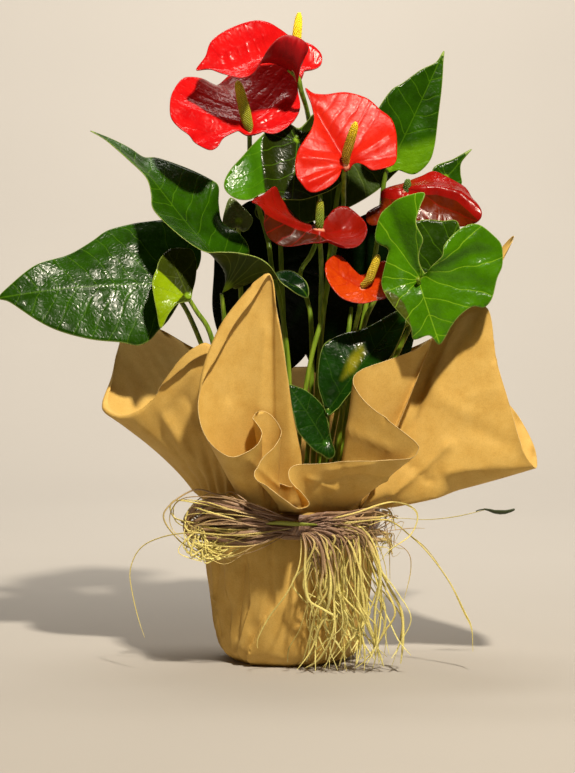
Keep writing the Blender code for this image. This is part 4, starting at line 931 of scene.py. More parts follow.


# Finished surfaces of the leaves and blooms, each named after what the eye sees, painted light and shade
# among them.
# Some have a second ground for the part of their blade that is in REGIONS.
FRESH = blade_material("fresh_waxy_leaf", LEAF_LOOK)
PALE_FOOTED = blade_material("fresh_leaf_with_pale_foot", LEAF_LOOK,
                             {"dark": "3E6A04", "light": "608E0C", "soft": 7.0})
DEEP_LOOK = {**LEAF_LOOK, "dark": "0A2003", "light": "163C06", "vein": "3A5E18", "hub": "2E5A14",
             "coat": 0.15, "roughness": 0.2, "shine": 0.26, "hub_size": 4.0}
DEEP = blade_material("dark_waxy_leaf", DEEP_LOOK)
LIT = blade_material("lit_waxy_leaf", {**LEAF_LOOK, "dark": "2E5802", "light": "447804", "vein": "8CB426",
                                       "drawn": 0.45}, {"dark": "343C0C", "light": "4A5216", "soft": 1.0})
SHADE = blade_material("shaded_leaf", {**LEAF_LOOK, "dark": "030C02", "light": "061602", "vein": "0C2006",
                                       "hub": "0C2006", "rim": "0C2006", "shine": 0.1})
DIM = blade_material("dim_waxy_leaf", {**LEAF_LOOK, "dark": "142A02", "light": "284404", "shine": 0.16})
GREYISH = blade_material("greyish_glossy_leaf", {**LEAF_LOOK, "dark": "3E4E26", "light": "6E7C48",
                                                 "drawn": 0.12, "shine": 0.45, "cell": 3.0, "net": 0.24})
OLIVE = blade_material("olive_waxy_leaf", {**LEAF_LOOK, "dark": "202E04", "light": "3A4C08",
                                           "vein": "5E7220"})
SPLIT = blade_material("half_lit_waxy_leaf", {**LEAF_LOOK, "dark": "2A5604", "light": "467C0A"},
                       {"dark": "141E03", "light": "243006", "soft": 1.5})
# The patch darkens the leaf's end as painted shadow.
SHADOW_ENDED_LEAF = blade_material("waxy_leaf_with_painted_shadow_end", LEAF_LOOK, {"dark": "041603", "light": "0A2806", "soft": 4.0})
# Painted light and shade: the olive ground stands for the leaf in shade, and the lime patch for its lit part.
LIT_AND_SHADED_LEAF = blade_material("leaf_with_painted_shade_and_lit_lime_patch", {**LEAF_LOOK, "dark": "222C05", "light": "343F09",
                                                      "vein": "5A6C1C"},
                       {"dark": "6C8602", "light": "88A40A", "soft": 0.8})
MARKED = blade_material("dark_leaf_with_yellow_midrib", DEEP_LOOK, {"dark": "4A5608", "light": "8E8812",
                                                                    "soft": 4.0})
LEAF_BACK = blade_material("leaf_underside", {**LEAF_LOOK, "dark": "243408", "light": "3C5010",
                                              "vein": "66782E", "roughness": 0.5, "net": 0.16, "drawn": 0.5})
RED = blade_material("glossy_red_spathe", SPATHE_LOOK)
# The patch darkens the hood's lower band, which is turned down under its crease, as painted shade.
HOOD_WITH_SHADED_BAND = blade_material("glossy_red_hood_with_painted_shade_band", {**SPATHE_LOOK, "dark": "780A06", "light": "9C140C"},
                        {"dark": "4A1404", "light": "6E2404", "soft": 0.5})
CORAL_LOOK = {**SPATHE_LOOK, "dark": "B01008", "light": "C62612", "net": 0.05, "shine": 0.1, "roughness": 0.3}
CORAL = blade_material("glossy_coral_spathe", CORAL_LOOK)
# Painted shade: the ground is darkened for the shadow of the bloom above, and the patch is the turned-under
# side, darker still.
CORAL_IN_PAINTED_SHADE = blade_material("glossy_coral_spathe_darkened_as_painted_shade", {**CORAL_LOOK, "dark": "680C05", "light": "8A1607"},
                       {"dark": "2C1004", "light": "481805", "soft": 0.5})
ORANGE = blade_material("glossy_orange_spathe", {**SPATHE_LOOK, "dark": "9A1C05", "light": "C24408"})
SPATHE_BACK = blade_material("spathe_underside", {**SPATHE_LOOK, "dark": "7E040A", "light": "A0060E",
                                                  "hub": "D89A84", "roughness": 0.45, "shine": 0.2,
                                                  "net": 0.1})
LEAF_EDGE = rim_material("leaf_edge", "93A648", 0.45)
SPATHE_EDGE = rim_material("spathe_edge", "8A1A18", 0.4)
STEM = stem_material()
KRAFT = paper_material()
# The paper's cut edge is painted paler than its faces: a painted highlight.
KRAFT_EDGE_HIGHLIGHT = rim_material("cut_kraft_edge_painted_highlight", "DDC488", 0.7)
RAFFIA = raffia_material()

UPPER = {"leaf_01": FRESH, "leaf_02": SHADOW_ENDED_LEAF, "leaf_03": LIT_AND_SHADED_LEAF, "leaf_04": GREYISH, "leaf_05": SPLIT,
         "leaf_06": OLIVE, "leaf_07": PALE_FOOTED, "leaf_08": FRESH, "leaf_09": LIT, "leaf_10": DIM,
         "leaf_11": MARKED, "leaf_13": SHADE, "leaf_14": SHADE, "flower_3": CORAL, "flower_4": CORAL_IN_PAINTED_SHADE,
         "flower_5": ORANGE, "flower_6": HOOD_WITH_SHADED_BAND}
LOWER = {"leaf_13": SHADE, "leaf_14": SHADE}
SPADIX_TONES = {"flower_1": ("D8B818", "F2D818", "FFE830"), "flower_2": ("8E9A2A", "B0B428", "D8C828"),
                "flower_3": ("B8902C", "C8A428", "F2D21B"), "flower_4": ("5E7A20", "7E9626", "A2A82C"),
                "flower_5": ("B0A028", "D4BC2C", "EAD434"), "flower_6": ("33501A", "456420", "5E7C2A")}


# Folds of single blades: the line (x, z) as seen, how wide it is and how far it stands out
BLADE_FOLDS = {
    "flower_6": [([(88, 458), (104, 460), (126, 464), (146, 465), (166, 459), (180, 447), (190, 436)],
                  9.0, 13.0)],
    "flower_4": [([(-34, 452), (-14, 440), (8, 430), (30, 425)], 7.0, 7.0),
                 ([(54, 433), (62, 434)], 13.0, -9.0)],
    "flower_1": [([(-66, 600), (-44, 612), (-24, 620)], 7.0, 3.0)],
    "flower_3": [([(56, 492), (20, 476)], 5.0, 2.5), ([(54, 496), (14, 500)], 5.0, 2.5),
                 ([(56, 500), (28, 545)], 6.0, -3.0), ([(62, 498), (98, 520)], 7.0, 3.0)],
    "flower_2": [([(-42, 530), (-104, 548)], 7.0, 3.0), ([(-40, 532), (-92, 520)], 5.0, -2.0),
                 ([(-34, 530), (-4, 556)], 6.0, 3.0)],
    "leaf_05": [([(-27, 534), (-28, 500), (-22, 462)], 8.0, 6.0), ([(16, 528), (0, 470)], 7.0, -3.0)],
    "leaf_09": [([(128, 381), (108, 420), (98, 448)], 9.0, -4.0),
                ([(130, 384), (180, 406), (206, 407)], 10.0, -4.0),
                ([(132, 380), (200, 372)], 9.0, -2.5), ([(128, 378), (146, 330)], 9.0, -3.0),
                ([(158, 402), (186, 418), (204, 410)], 12.0, 5.0)],
    "leaf_07": [([(108, 501), (152, 604)], 7.0, -3.0)],
    "leaf_11": [([(44, 262), (112, 346)], 8.0, -4.0)],
}


# Parts of blades in other colours, as outlines (x, z) as seen: turned-under parts, painted shade and light,
# and patches
# Painted light on leaf_03's lit part; leaf_09's turned-under margin, leaf_07's pale foot and leaf_11's yellow
# midrib are their own colours.
# Painted shade on flower_6's lower band, leaf_02's end and leaf_05's right part, and in part on flower_4's
# turned-under side.
REGIONS = {
    "flower_6": [(60, 462), (88, 462), (104, 459), (126, 463), (146, 464), (166, 458), (180, 446), (196, 430),
                 (196, 420), (60, 420)],
    "flower_4": [(-50, 462), (-40, 455), (-14, 439), (8, 429), (30, 424), (46, 414), (60, 405), (60, 395),
                 (-50, 395)],
    "leaf_02": [(-12, 396), (-8, 372), (4, 356), (28, 354), (28, 396)],
    "leaf_03": [(-148, 396), (-148, 328), (-127, 324), (-113, 356), (-105, 365), (-124, 384), (-134, 392)],
    "leaf_05": [(-26, 538), (-28, 500), (-22, 450), (74, 448), (74, 550), (-20, 550)],
    "leaf_09": [(84, 370), (98, 369), (107, 364), (114, 357), (119, 345), (123, 325), (118, 312), (84, 330)],
    "leaf_07": [(70, 524), (112, 510), (160, 522), (160, 470), (70, 470)],
    "leaf_11": [(52, 280), (60, 302), (72, 316), (76, 308), (64, 288)],
}


def region_gap(points, outline):
    """How far inside an outline (x, z) as seen each point lies, in millimetres, negative outside."""
    within, gap = outline_gap(as_seen(points), np.array(outline, float))
    return np.where(within, gap, -gap)


def make_blade(name, piece, step, thickness, puff, spacing, hub_side):
    """A blade's closed shell, with the group of its upper face first; also its hub's normal on hub_side."""
    hub = seen(piece["hub"])
    rim = smooth([seen(p) for p in piece["rim"]], RIM_STEP, True)
    points, triangles, places, rim_gap = blade_surface(hub, rim, piece["droop"], step)
    up = Vector(point_normals(points, triangles)[len(rim)])
    flip = up.dot(seen(hub_side) - hub) < 0
    points = puffed(points, triangles, places, rim_gap, spacing, -puff if flip else puff)
    points = creased(points, triangles, BLADE_FOLDS.get(name, []), BLADE_CREASE)
    both, faces, groups = sheet_shell(points, triangles, thickness)
    if flip:
        groups = [{0: 1, 1: 0, 2: 2}[g] for g in groups]
    values = {"rim_gap": np.concatenate([rim_gap, rim_gap])}
    if name in REGIONS:
        values["region"] = region_gap(both, REGIONS[name])
    shell = {"points": both, "faces": faces, "groups": groups, "maps": np.concatenate([places, places]),
             "values": values}
    return shell, hub, -up if flip else up


def stem_run(start, run):
    """A stem's smooth path from the bloom or blade down into its hole in the soil."""
    foot = run[-1]
    return smooth([start] + run + [Vector((foot.x, foot.y, ROOT_Z))], STEM_STEP, False)


def make_stalk(run):
    """A bloom's round stalk, stouter where it meets the bloom and a little uneven below."""
    radii = [STALK_R * (1 + 0.18 * math.exp(-i / 1.5) - 0.04 * math.sin(i * 0.7)) for i in range(len(run))]
    return tube_shell(run, radii, STEM_SIDES)


def make_leaf(name, leaf):
    """One leaf: its blade and its petiole."""
    away = leaf["petiole"][0]
    shell, hub, up = make_blade(name, leaf, LEAF_STEP, LEAF_THICKNESS, LEAF_PUFF, LEAF_LOOK["spacing"], away)
    # The upper face looks away from the petiole
    groups = [{0: 1, 1: 0, 2: 2}[g] for g in shell["groups"]]
    run = stem_run(hub + up * PETIOLE_SEAT, [seen(p) for p in leaf["petiole"]])
    count = len(shell["points"])
    radii = [PETIOLE_R * (1 - 0.25 * math.exp(-i / 2.5)) for i in range(len(run))]
    points, faces = tube_shell(run, radii, STEM_SIDES, count)
    maps = np.concatenate([shell["maps"], np.zeros((len(points), 2))])
    values = {key: np.concatenate([v, np.full(len(points), 9.0)]) for key, v in shell["values"].items()}
    made = mesh_object(name + "_look", list(shell["points"]) + points, shell["faces"] + faces,
                       [UPPER.get(name, DEEP), LOWER.get(name, LEAF_BACK), LEAF_EDGE, STEM],
                       groups + [3] * len(faces), maps, values)
    place_piece(made, [name])


def make_bloom(name, bloom):
    """One bloom: its spathe, its stalk and its spadix."""
    base, tip, radius = bloom["spadix"]
    shell, hub, up = make_blade(name, bloom, SPATHE_STEP, SPATHE_THICKNESS, SPATHE_PUFF,
                                SPATHE_LOOK["spacing"], tip)
    spathe = mesh_object(name + "_spathe_look", shell["points"], shell["faces"],
                         [UPPER.get(name, RED), SPATHE_BACK, SPATHE_EDGE], shell["groups"], shell["maps"],
                         shell["values"])
    place_piece(spathe, [name + "_spathe"])
    run = stem_run(hub - up * BLOOM_SEAT, [hub - up * STALK_LEAD] + [seen(p) for p in bloom["stalk"]])
    points, faces = make_stalk(run)
    stalk = mesh_object(name + "_stalk_look", points, faces, [STEM])
    place_piece(stalk, [name + "_stalk"])
    make_spadix(name, hub + up * BLOOM_SEAT, up, seen(base), seen(tip), radius)


# Geometry Nodes


def named(tree, name, kind="FLOAT"):
    """A stored point value as a field."""
    return add(tree, "GeometryNodeInputNamedAttribute", {"data_type": kind}, {"Name": name}).outputs[0]


def new_tree(name, sizes):
    """A tree and the sockets of its named inputs, which are given as label to (socket type, value)."""
    tree = bpy.data.node_groups.new(name, "GeometryNodeTree")
    tree.interface.new_socket("Geometry", in_out="INPUT", socket_type="NodeSocketGeometry")
    for label, (kind, value) in sizes.items():
        socket = tree.interface.new_socket(label, in_out="INPUT", socket_type=kind)
        if value is not None:
            socket.default_value = value
    tree.interface.new_socket("Geometry", in_out="OUTPUT", socket_type="NodeSocketGeometry")
    return tree, add(tree, "NodeGroupInput").outputs


def close_tree(tree, geometry, material):
    """Ends a tree in real geometry with its material."""
    real = add(tree, "GeometryNodeRealizeInstances", None, {0: geometry})
    shaded = add(tree, "GeometryNodeSetShadeSmooth", None, {0: real})
    finished = add(tree, "GeometryNodeSetMaterial", None, {"Geometry": shaded, "Material": material})
    add(tree, "NodeGroupOutput", None, {0: finished})


def grown(piece, tree, sizes):
    """Runs a tree on a piece with its sizes, and leaves the piece as a plain mesh."""
    grow = piece.modifiers.new("grow", "NODES")
    grow.node_group = tree
    for item in tree.interface.items_tree:
        if item.in_out == "INPUT" and item.name in sizes:
            grow[item.identifier] = sizes[item.name]
    depsgraph = bpy.context.evaluated_depsgraph_get()
    result = bpy.data.meshes.new_from_object(piece.evaluated_get(depsgraph))
    old = piece.data
    piece.modifiers.clear()
    piece.data = result
    bpy.data.meshes.remove(old)
    return piece


def point_source(name, points, edges, values, vectors):
    """A bare mesh of points and edges, in metres, with the values that a tree reads."""
    mesh = bpy.data.meshes.new(name)
    mesh.from_pydata([tuple(p * MM) for p in points], edges, [])
    for key, numbers in values.items():
        mesh.attributes.new(key, "FLOAT", "POINT").data.foreach_set("value", np.array(numbers, np.float32))
    for key, arrows in vectors.items():
        flat = np.array([tuple(a) for a in arrows], np.float32).ravel()
        mesh.attributes.new(key, "FLOAT_VECTOR", "POINT").data.foreach_set("vector", flat)
    made = bpy.data.objects.new(name, mesh)
    bpy.context.scene.collection.objects.link(made)
    return made


def floret_tree():
    """Florets of a spadix: a low bud on each point, turned outwards, joined to the core under them."""
    tree, given = new_tree("florets", {"Bud radius": ("NodeSocketFloat", 0.0009),
                                       "Core": ("NodeSocketObject", None),
                                       "Finish": ("NodeSocketMaterial", None)})
    bud = add(tree, "GeometryNodeMeshUVSphere", None,
              {"Segments": 6, "Rings": 4, "Radius": given["Bud radius"]})
    turn = add(tree, "FunctionNodeAlignRotationToVector", {"axis": "Z"},
               {"Vector": named(tree, "out", "FLOAT_VECTOR")})
    buds = add(tree, "GeometryNodeInstanceOnPoints", None,
               {"Points": given["Geometry"], "Instance": bud, "Rotation": turn})
    core = add(tree, "GeometryNodeObjectInfo", None, {"Object": given["Core"]})
    both = add(tree, "GeometryNodeJoinGeometry", None, {0: buds})
    tree.links.new(core.outputs["Geometry"], both.inputs[0])
    close_tree(tree, both, given["Finish"])
    return tree


def strand_tree():
    """Raffia strips: each path becomes a thin strip, flat side out, with a slight curl across it."""
    tree, given = new_tree("raffia_strips", {"Width": ("NodeSocketFloat", 0.003),
                                             "Thickness": ("NodeSocketFloat", 0.0004),
                                             "Finish": ("NodeSocketMaterial", None)})
    section = add(tree, "GeometryNodeCurvePrimitiveQuadrilateral", None,
                  {"Width": given["Thickness"], "Height": given["Width"]})
    cut = add(tree, "GeometryNodeSubdivideCurve", None, {"Curve": section, "Cuts": 1})
    spot = add(tree, "ShaderNodeSeparateXYZ", None, {0: add(tree, "GeometryNodeInputPosition")})
    across = add(tree, "ShaderNodeMath", {"operation": "ABSOLUTE"}, {0: spot.outputs[1]})
    bend = add(tree, "ShaderNodeMath", {"operation": "MULTIPLY"}, {0: across, 1: -0.3})
    shift = add(tree, "ShaderNodeCombineXYZ", None, {0: bend})
    curled = add(tree, "GeometryNodeSetPosition", None, {"Geometry": cut, "Offset": shift})
    path = add(tree, "GeometryNodeMeshToCurve", None, {0: given["Geometry"]})
    faced = add(tree, "GeometryNodeSetCurveNormal", {"mode": "FREE"},
                {"Curve": path, "Normal": named(tree, "facing", "FLOAT_VECTOR")})
    strips = add(tree, "GeometryNodeCurveToMesh", None,
                 {"Curve": faced, "Profile Curve": curled, "Scale": named(tree, "strip"), "Fill Caps": True})
    close_tree(tree, strips, given["Finish"])
    return tree


def crumb_tree():
    """Peat crumbs strewn over the soil, of random size and turn, joined to the soil."""
    tree, given = new_tree("peat_crumbs", {"Per square metre": ("NodeSocketFloat", 24000.0),
                                           "Crumb radius": ("NodeSocketFloat", 0.0018),
                                           "Seed": ("NodeSocketInt", 3),
                                           "Finish": ("NodeSocketMaterial", None)})
    strewn = add(tree, "GeometryNodeDistributePointsOnFaces", None,
                 {"Mesh": given["Geometry"], "Selection": named(tree, "top"),
                  "Density": given["Per square metre"], "Seed": given["Seed"]})
    crumb = add(tree, "GeometryNodeMeshIcoSphere", None, {"Radius": given["Crumb radius"], "Subdivisions": 1})
    turns = add(tree, "FunctionNodeRandomValue", {"data_type": "FLOAT_VECTOR"},
                {"Max": (6.28, 6.28, 6.28), "Seed": given["Seed"]})
    scales = add(tree, "FunctionNodeRandomValue", {"data_type": "FLOAT_VECTOR"},
                 {"Min": (0.4, 0.4, 0.3), "Max": (1.7, 1.4, 1.0), "Seed": given["Seed"]})
    crumbs = add(tree, "GeometryNodeInstanceOnPoints", None,
                 {"Points": strewn, "Instance": crumb, "Rotation": turns, "Scale": scales})
    both = add(tree, "GeometryNodeJoinGeometry", None, {0: crumbs})
    tree.links.new(given["Geometry"], both.inputs[0])
    close_tree(tree, both, given["Finish"])
    return tree


FLORETS = floret_tree()
STRIPS = strand_tree()
CRUMBS = crumb_tree()


def make_spadix(name, seat, up, base, tip, radius):
    """A spadix: a tapering core closely set with florets on a spiral."""
    path = [seat, seat + up * SPADIX_LEAD] + [base.lerp(tip, t) for t, _ in SPADIX_SHAPE[2:]]
    widths = [radius * r for _, r in SPADIX_SHAPE]
    run, fat = smooth(path, SPADIX_STEP, False, widths)
    finish = spadix_material(name + "_florets", *SPADIX_TONES[name])
    points, faces = tube_shell(run, [f * CORE_SHARE for f in fat], SPADIX_SIDES)
    along = [i / (len(run) - 1) for i in range(len(run)) for _ in range(SPADIX_SIDES)]
    core = mesh_object(name + "_core", points, faces, [finish], None, None, {"along": along})
    spots, outs, parts = [], [], []
    travelled, turn = 0.0, 0.0
    for i in range(len(run) - 1):
        length = (run[i + 1] - run[i]).length
        ahead = (run[i + 1] - run[i]).normalized()
        side = ahead.orthogonal().normalized()
        other = ahead.cross(side)
        step = FLORET_PITCH * FLORET_PITCH / (2 * math.pi * fat[i])
        while travelled < length:
            t = travelled / length
            out = side * math.cos(turn) + other * math.sin(turn)
            r = fat[i] * (1 - t) + fat[i + 1] * t
            spots.append(run[i].lerp(run[i + 1], t) + out * r * CORE_SHARE)
            lean = (fat[i] - fat[i + 1]) / length
            outs.append((out + ahead * lean).normalized())
            parts.append((i + t) / (len(run) - 1))
            travelled += step
            turn += FLORET_TURN
        travelled -= length
    piece = point_source(name + "_spadix_look", spots, [], {"along": parts}, {"out": outs})
    grown(piece, FLORETS, {"Bud radius": FLORET_R * MM, "Core": core, "Finish": finish})
    bpy.data.objects.remove(core)
    place_piece(piece, [name + "_spadix"])


# Wall of the wrap from the middle of its base to its neck: radius, height and share of the pleats' depth
BAG = [(BASE_R * 0.5, PAPER / 2, 0.0), (BASE_R, PAPER / 2, 0.0), (62.0, 8.0, 0.4), (69.5, 22.0, 0.8),
       (77.5, 66.0, 1.0), (83.2, 119.0, 1.0), (NECK_R, NECK_Z, NECK_PLEAT)]


def angle_point(radius, degrees, z, pleated):
    """A point of the wrap's round wall, with its pleats."""
    turn = math.radians(degrees)
    r = radius + pleated * PLEAT_DEPTH * math.sin(PLEATS * turn + math.sin(3 * turn))
    return Vector((r * math.cos(turn), r * math.sin(turn), z))


def gather(degrees):
    """How far a gather of the paper stands out at an angle round the neck, from -1 to 1."""
    turn = math.radians(degrees)
    return math.sin(GATHERS * turn + 2.0 * math.sin(2 * turn) + 1.3 * math.sin(5 * turn))


# Paper folded over at the edges: the bend's radius, its turn, its rows and the least that is folded over.
# Each hem is (place along the edge's points, length), and a length below 0 is folded outwards.
HEM_RADIUS = 2.4
HEM_TURN = math.radians(162)
HEM_ROWS = 10
LEAST_HEM = 1.0
RUFFLE_HEM = [(0, 1.0), (4.7, 1.0), (5.2, 8.0), (6.0, 18.0), (7.2, 21.0), (8.2, 17.0), (9.5, 6.0),
              (10.5, 1.0), (60.0, 1.0)]
COLLAR_HEM = [(0, 0.2), (27.0, 0.2), (28.5, 8.0), (30.5, 15.0), (32.5, 12.0), (33.5, 0.2), (33.9, -0.2),
              (34.8, -9.0), (36.0, -15.0), (37.5, -16.0), (39.0, -13.0), (39.8, -2.0), (40.4, -0.2),
              (60.0, -0.2)]

# Sag of the collar between the neck and its low corner at the right: middle angle, spread and depth
SAG_ANGLE = 338.0
SAG_SPREAD = 11.0
SAG_DEPTH = 34.0

# The right lobe's lower part is tucked back under a crease (x, z) as seen, from one x to another, between two
# angles round the neck, and leans this far back for each millimetre down
TUCK_CREASE = [(144, 186), (163, 188), (200, 191), (250, 192)]
TUCK_FROM = 146.0
TUCK_TO = 172.0
TUCK_ANGLES = (322.0, 356.0)
TUCK_LEAN = 0.95

# Creases of the flared paper: the line (x, z) as seen, how wide it is and how far it stands out
COLLAR_FOLDS = [
    ([(168, 322), (206, 318)], 2.2, 1.0), ([(172, 306), (208, 300)], 2.0, -1.0),
    ([(176, 262), (206, 270)], 2.6, 1.3), ([(178, 246), (150, 262), (138, 300)], 6.0, 2.5),
    ([(104, 166), (134, 190), (158, 214)], 5.0, 4.5), ([(158, 214), (161, 184)], 4.0, 3.5),
    ([(118, 196), (140, 178)], 3.5, -2.5), ([(184, 232), (218, 214)], 7.0, -2.5),
    ([(-96, 290), (-128, 250), (-104, 206)], 6.0, 3.0), ([(-104, 262), (-78, 214)], 5.0, -3.0),
    ([(-122, 240), (-84, 190)], 5.0, 3.0), ([(-90, 232), (-60, 186)], 4.0, 3.0),
    ([(-150, 236), (-96, 192)], 6.0, 2.5), ([(150, 340), (140, 290), (124, 240)], 5.0, -2.5),
]
RUFFLE_FOLDS = [
    ([(85, 292), (92, 262), (96, 238)], 2.0, -1.8), ([(-30, 368), (-60, 262)], 9.0, -3.0),
    ([(-24, 330), (-30, 250)], 8.0, 2.5), ([(-40, 200), (-6, 168)], 3.0, 2.0),
    ([(40, 190), (84, 196)], 4.0, 2.0), ([(30, 176), (70, 184), (96, 180)], 4.0, -3.0),
    ([(60, 230), (100, 212)], 5.0, 2.0), ([(20, 182), (46, 170)], 3.0, 2.5),
    ([(52, 194), (62, 172)], 3.0, -2.0),
]

# Pleats of the wrapped wall: where each starts, in degrees at the foot, in the middle and at the neck, and
# how far its edge stands out over the one before. Then the middle's height, an edge's width and its rise.
WALL_PLEATS = [(5, 3, 0, 1.2), (28, 22, 19, 2.0), (50, 44, 40, 1.2), (74, 66, 62, 2.0), (96, 90, 88, 1.4),
               (120, 114, 112, 2.2), (142, 138, 136, 1.2), (162, 160, 160, 2.0), (180, 183, 184, 1.2),
               (198, 206, 206, 1.6), (211, 222, 222, 1.0), (219, 241, 240, 1.4), (228, 260, 260, 3.0),
               (268, 284, 283, 0.6), (292, 303, 302, 2.0), (318, 322, 320, 1.4), (343, 341, 338, 2.2)]
PLEAT_MIDDLE_Z = 65.0
PLEAT_EDGE = 1.4
PLEAT_RISE = 2.2

# The wall between the pleats: how far it is filled out, how deep its crumples are, the deepest that it may
# sink, and the heights where this starts to fade and ends
WALL_FILL = 1.2
CRUMPLE = 1.8
DEEPEST = -4.2
WALL_FADE_Z = 120.0
WALL_TOP_Z = NECK_Z - 4.0

# Creases of the wrapped wall, as those of the flared paper
WALL_FOLDS = [
    ([(-75, 119), (-70, 91), (-75, 53), (-69, 24)], 2.4, -2.6),
    ([(-61, 116), (-60, 88), (-61, 63)], 4.5, 3.6),
    ([(-44, 94), (-49, 53), (-53, 19)], 2.6, -3.2), ([(-40, 24), (-52, 4)], 2.5, 2.2),
    ([(17, 69), (6, 34), (-4, 4)], 2.6, -2.8), ([(24, 20), (48, 44), (62, 70)], 3.4, 3.0),
    ([(34, 118), (38, 80), (30, 46)], 3.0, -3.0), ([(-22, 112), (-20, 76), (-30, 40)], 6.0, 2.6),
]


def fold_wall(points):
    """Shapes the wrapped wall: flat pleats that overlap, with crumples between them."""
    stops = (0.0, PLEAT_MIDDLE_Z, NECK_Z)
    for p in points:
        radius = math.hypot(p.x, p.y)
        if p.z > WALL_TOP_Z or radius < BASE_R * 0.9:
            continue
        angle = math.degrees(math.atan2(p.y, p.x)) % 360.0
        starts = [float(np.interp(p.z, stops, pleat[:3])) for pleat in WALL_PLEATS]
        k = max((i for i, s in enumerate(starts) if s <= angle), default=-1)
        first = starts[k] - (360.0 if k == -1 else 0.0)
        last = starts[(k + 1) % len(starts)] + (360.0 if k == len(starts) - 1 else 0.0)
        half, middle = math.radians(last - first) / 2.0, (first + last) / 2.0
        chord = radius * (math.cos(half) / math.cos(math.radians(angle - middle)) - 1.0)
        inside = math.radians(angle - first) * radius
        edge = min(1.0, inside / PLEAT_EDGE)
        rise = PLEAT_RISE * WALL_PLEATS[k][3] * edge * (last - angle) / (last - first)
        crumple = noise.noise(Vector((p.x * 0.03, p.y * 0.03, p.z * 0.02 + 4.0)))
        shift = WALL_FILL + chord + rise - CRUMPLE * abs(crumple) * 2.0 * math.sin(math.pi * p.z / NECK_Z)
        shift = max(shift, DEEPEST) * (1.0 - max(0.0, (p.z - WALL_FADE_Z) / (WALL_TOP_Z - WALL_FADE_Z)))
        p.x += math.cos(math.radians(angle)) * shift
        p.y += math.sin(math.radians(angle)) * shift


def tuck(point):
    """Leans a point of the right lobe back if it lies below the tuck's crease."""
    x, z = as_seen(np.array([tuple(point)]))[0]
    xs, zs = zip(*TUCK_CREASE)
    below = max(0.0, float(np.interp(x, xs, zs)) - z)
    share = min(1.0, max(0.0, (x - TUCK_FROM) / (TUCK_TO - TUCK_FROM)))
    point.y += TUCK_LEAN * below * share * share * (3.0 - 2.0 * share)


def make_wrap():
    """The wrap: a closed bag up to the neck, its gathered and flared collar, and the folded front."""
    rim, angles = [seen(p) for p, _ in COLLAR], [float(a) for _, a in COLLAR]
    for i in range(1, len(angles)):
        while angles[i] < angles[i - 1]:
            angles[i] += 360.0
    rim.append(rim[0].copy())
    angles.append(angles[0] + 360.0)
    stops = [float(i) for i in range(len(rim))]
    _, stops = smooth(rim, COLLAR_STEP, False, stops)
    rim, angles = smooth(rim, COLLAR_STEP, False, angles)
    rim, angles, stops = rim[:-1], angles[:-1], stops[:-1]
    count = len(rim)
    wall = smooth([Vector(b) for b in BAG[1:]], 4.0, False)
    wall = [Vector(BAG[0])] + wall
    points = [Vector((0, 0, PAPER / 2))]
    for radius, z, pleated in wall:
        points += [angle_point(radius, a, z, pleated) for a in angles]
    for row in range(1, COLLAR_ROWS + 1):
        t = row / COLLAR_ROWS
        for r, a in zip(rim, angles):
            neck = angle_point(NECK_R, a, NECK_Z, NECK_PLEAT)
            rise = min(COLLAR_RISE * (r - neck).length, COLLAR_LIFT)
            rise -= SAG_DEPTH * math.exp(-((a - SAG_ANGLE) / SAG_SPREAD) ** 2)
            middle = neck.lerp(r, COLLAR_BEND) + Vector((0, 0, rise))
            points.append(neck * (1 - t) ** 2 + middle * 2 * t * (1 - t) + r * t * t)
    lengths = hem_length(stops, COLLAR_HEM)
    inwards, forwards = [Vector((-r.x, -r.y, 60.0)) for r in rim], Vector((0.0, -1.0, 0.0))
    sides = [side if folded > 0 else forwards for side, folded in zip(inwards, lengths)]
    lengths = [max(abs(folded), LEAST_HEM) for folded in lengths]
    for row in hem(points[-count:], points[-2 * count:-count], lengths, sides):
        points += row
    rows = len(wall) + COLLAR_ROWS + HEM_ROWS
    triangles = [(0, 1 + i, 1 + (i + 1) % count) for i in range(count)]
    for row in range(rows - 1):
        a, b = 1 + row * count, 1 + (row + 1) * count
        for i in range(count):
            j = (i + 1) % count
            triangles += [(a + i, b + i, b + j), (a + i, b + j, a + j)]
    normals = point_normals(points, triangles)
    for row in range(COLLAR_ROWS):
        t = (row + 1) / COLLAR_ROWS
        fade = t / GATHER_PEAK if t < GATHER_PEAK else math.exp(-(t - GATHER_PEAK) / GATHER_FADE)
        for i in range(count):
            k = 1 + (len(wall) + row) * count + i
            points[k] = points[k] + Vector(normals[k]) * (GATHER_DEPTH * fade) * gather(angles[i])
    fold_wall(points)
    points = [Vector(p) for p in creased(points, triangles, COLLAR_FOLDS + WALL_FOLDS, COLLAR_CREASE)]
    for row in range(1, COLLAR_ROWS + HEM_ROWS + 1):
        for i, angle in enumerate(angles):
            if TUCK_ANGLES[0] < angle < TUCK_ANGLES[1]:
                tuck(points[1 + (len(wall) - 1 + row) * count + i])
    flat = set(range(1 + 2 * count))
    for i in flat:
        points[i].z = PAPER / 2
    shell, faces, groups = sheet_shell(points, triangles, PAPER, flat)
    front, front_faces, front_groups = ruffle_shell(len(shell))
    groups = [g // 2 for g in groups + front_groups]
    piece = mesh_object("kraft_wrap_look", list(shell) + list(front), faces + front_faces,
                        [KRAFT, KRAFT_EDGE_HIGHLIGHT], groups)
    place_piece(piece, ["kraft_wrap"])


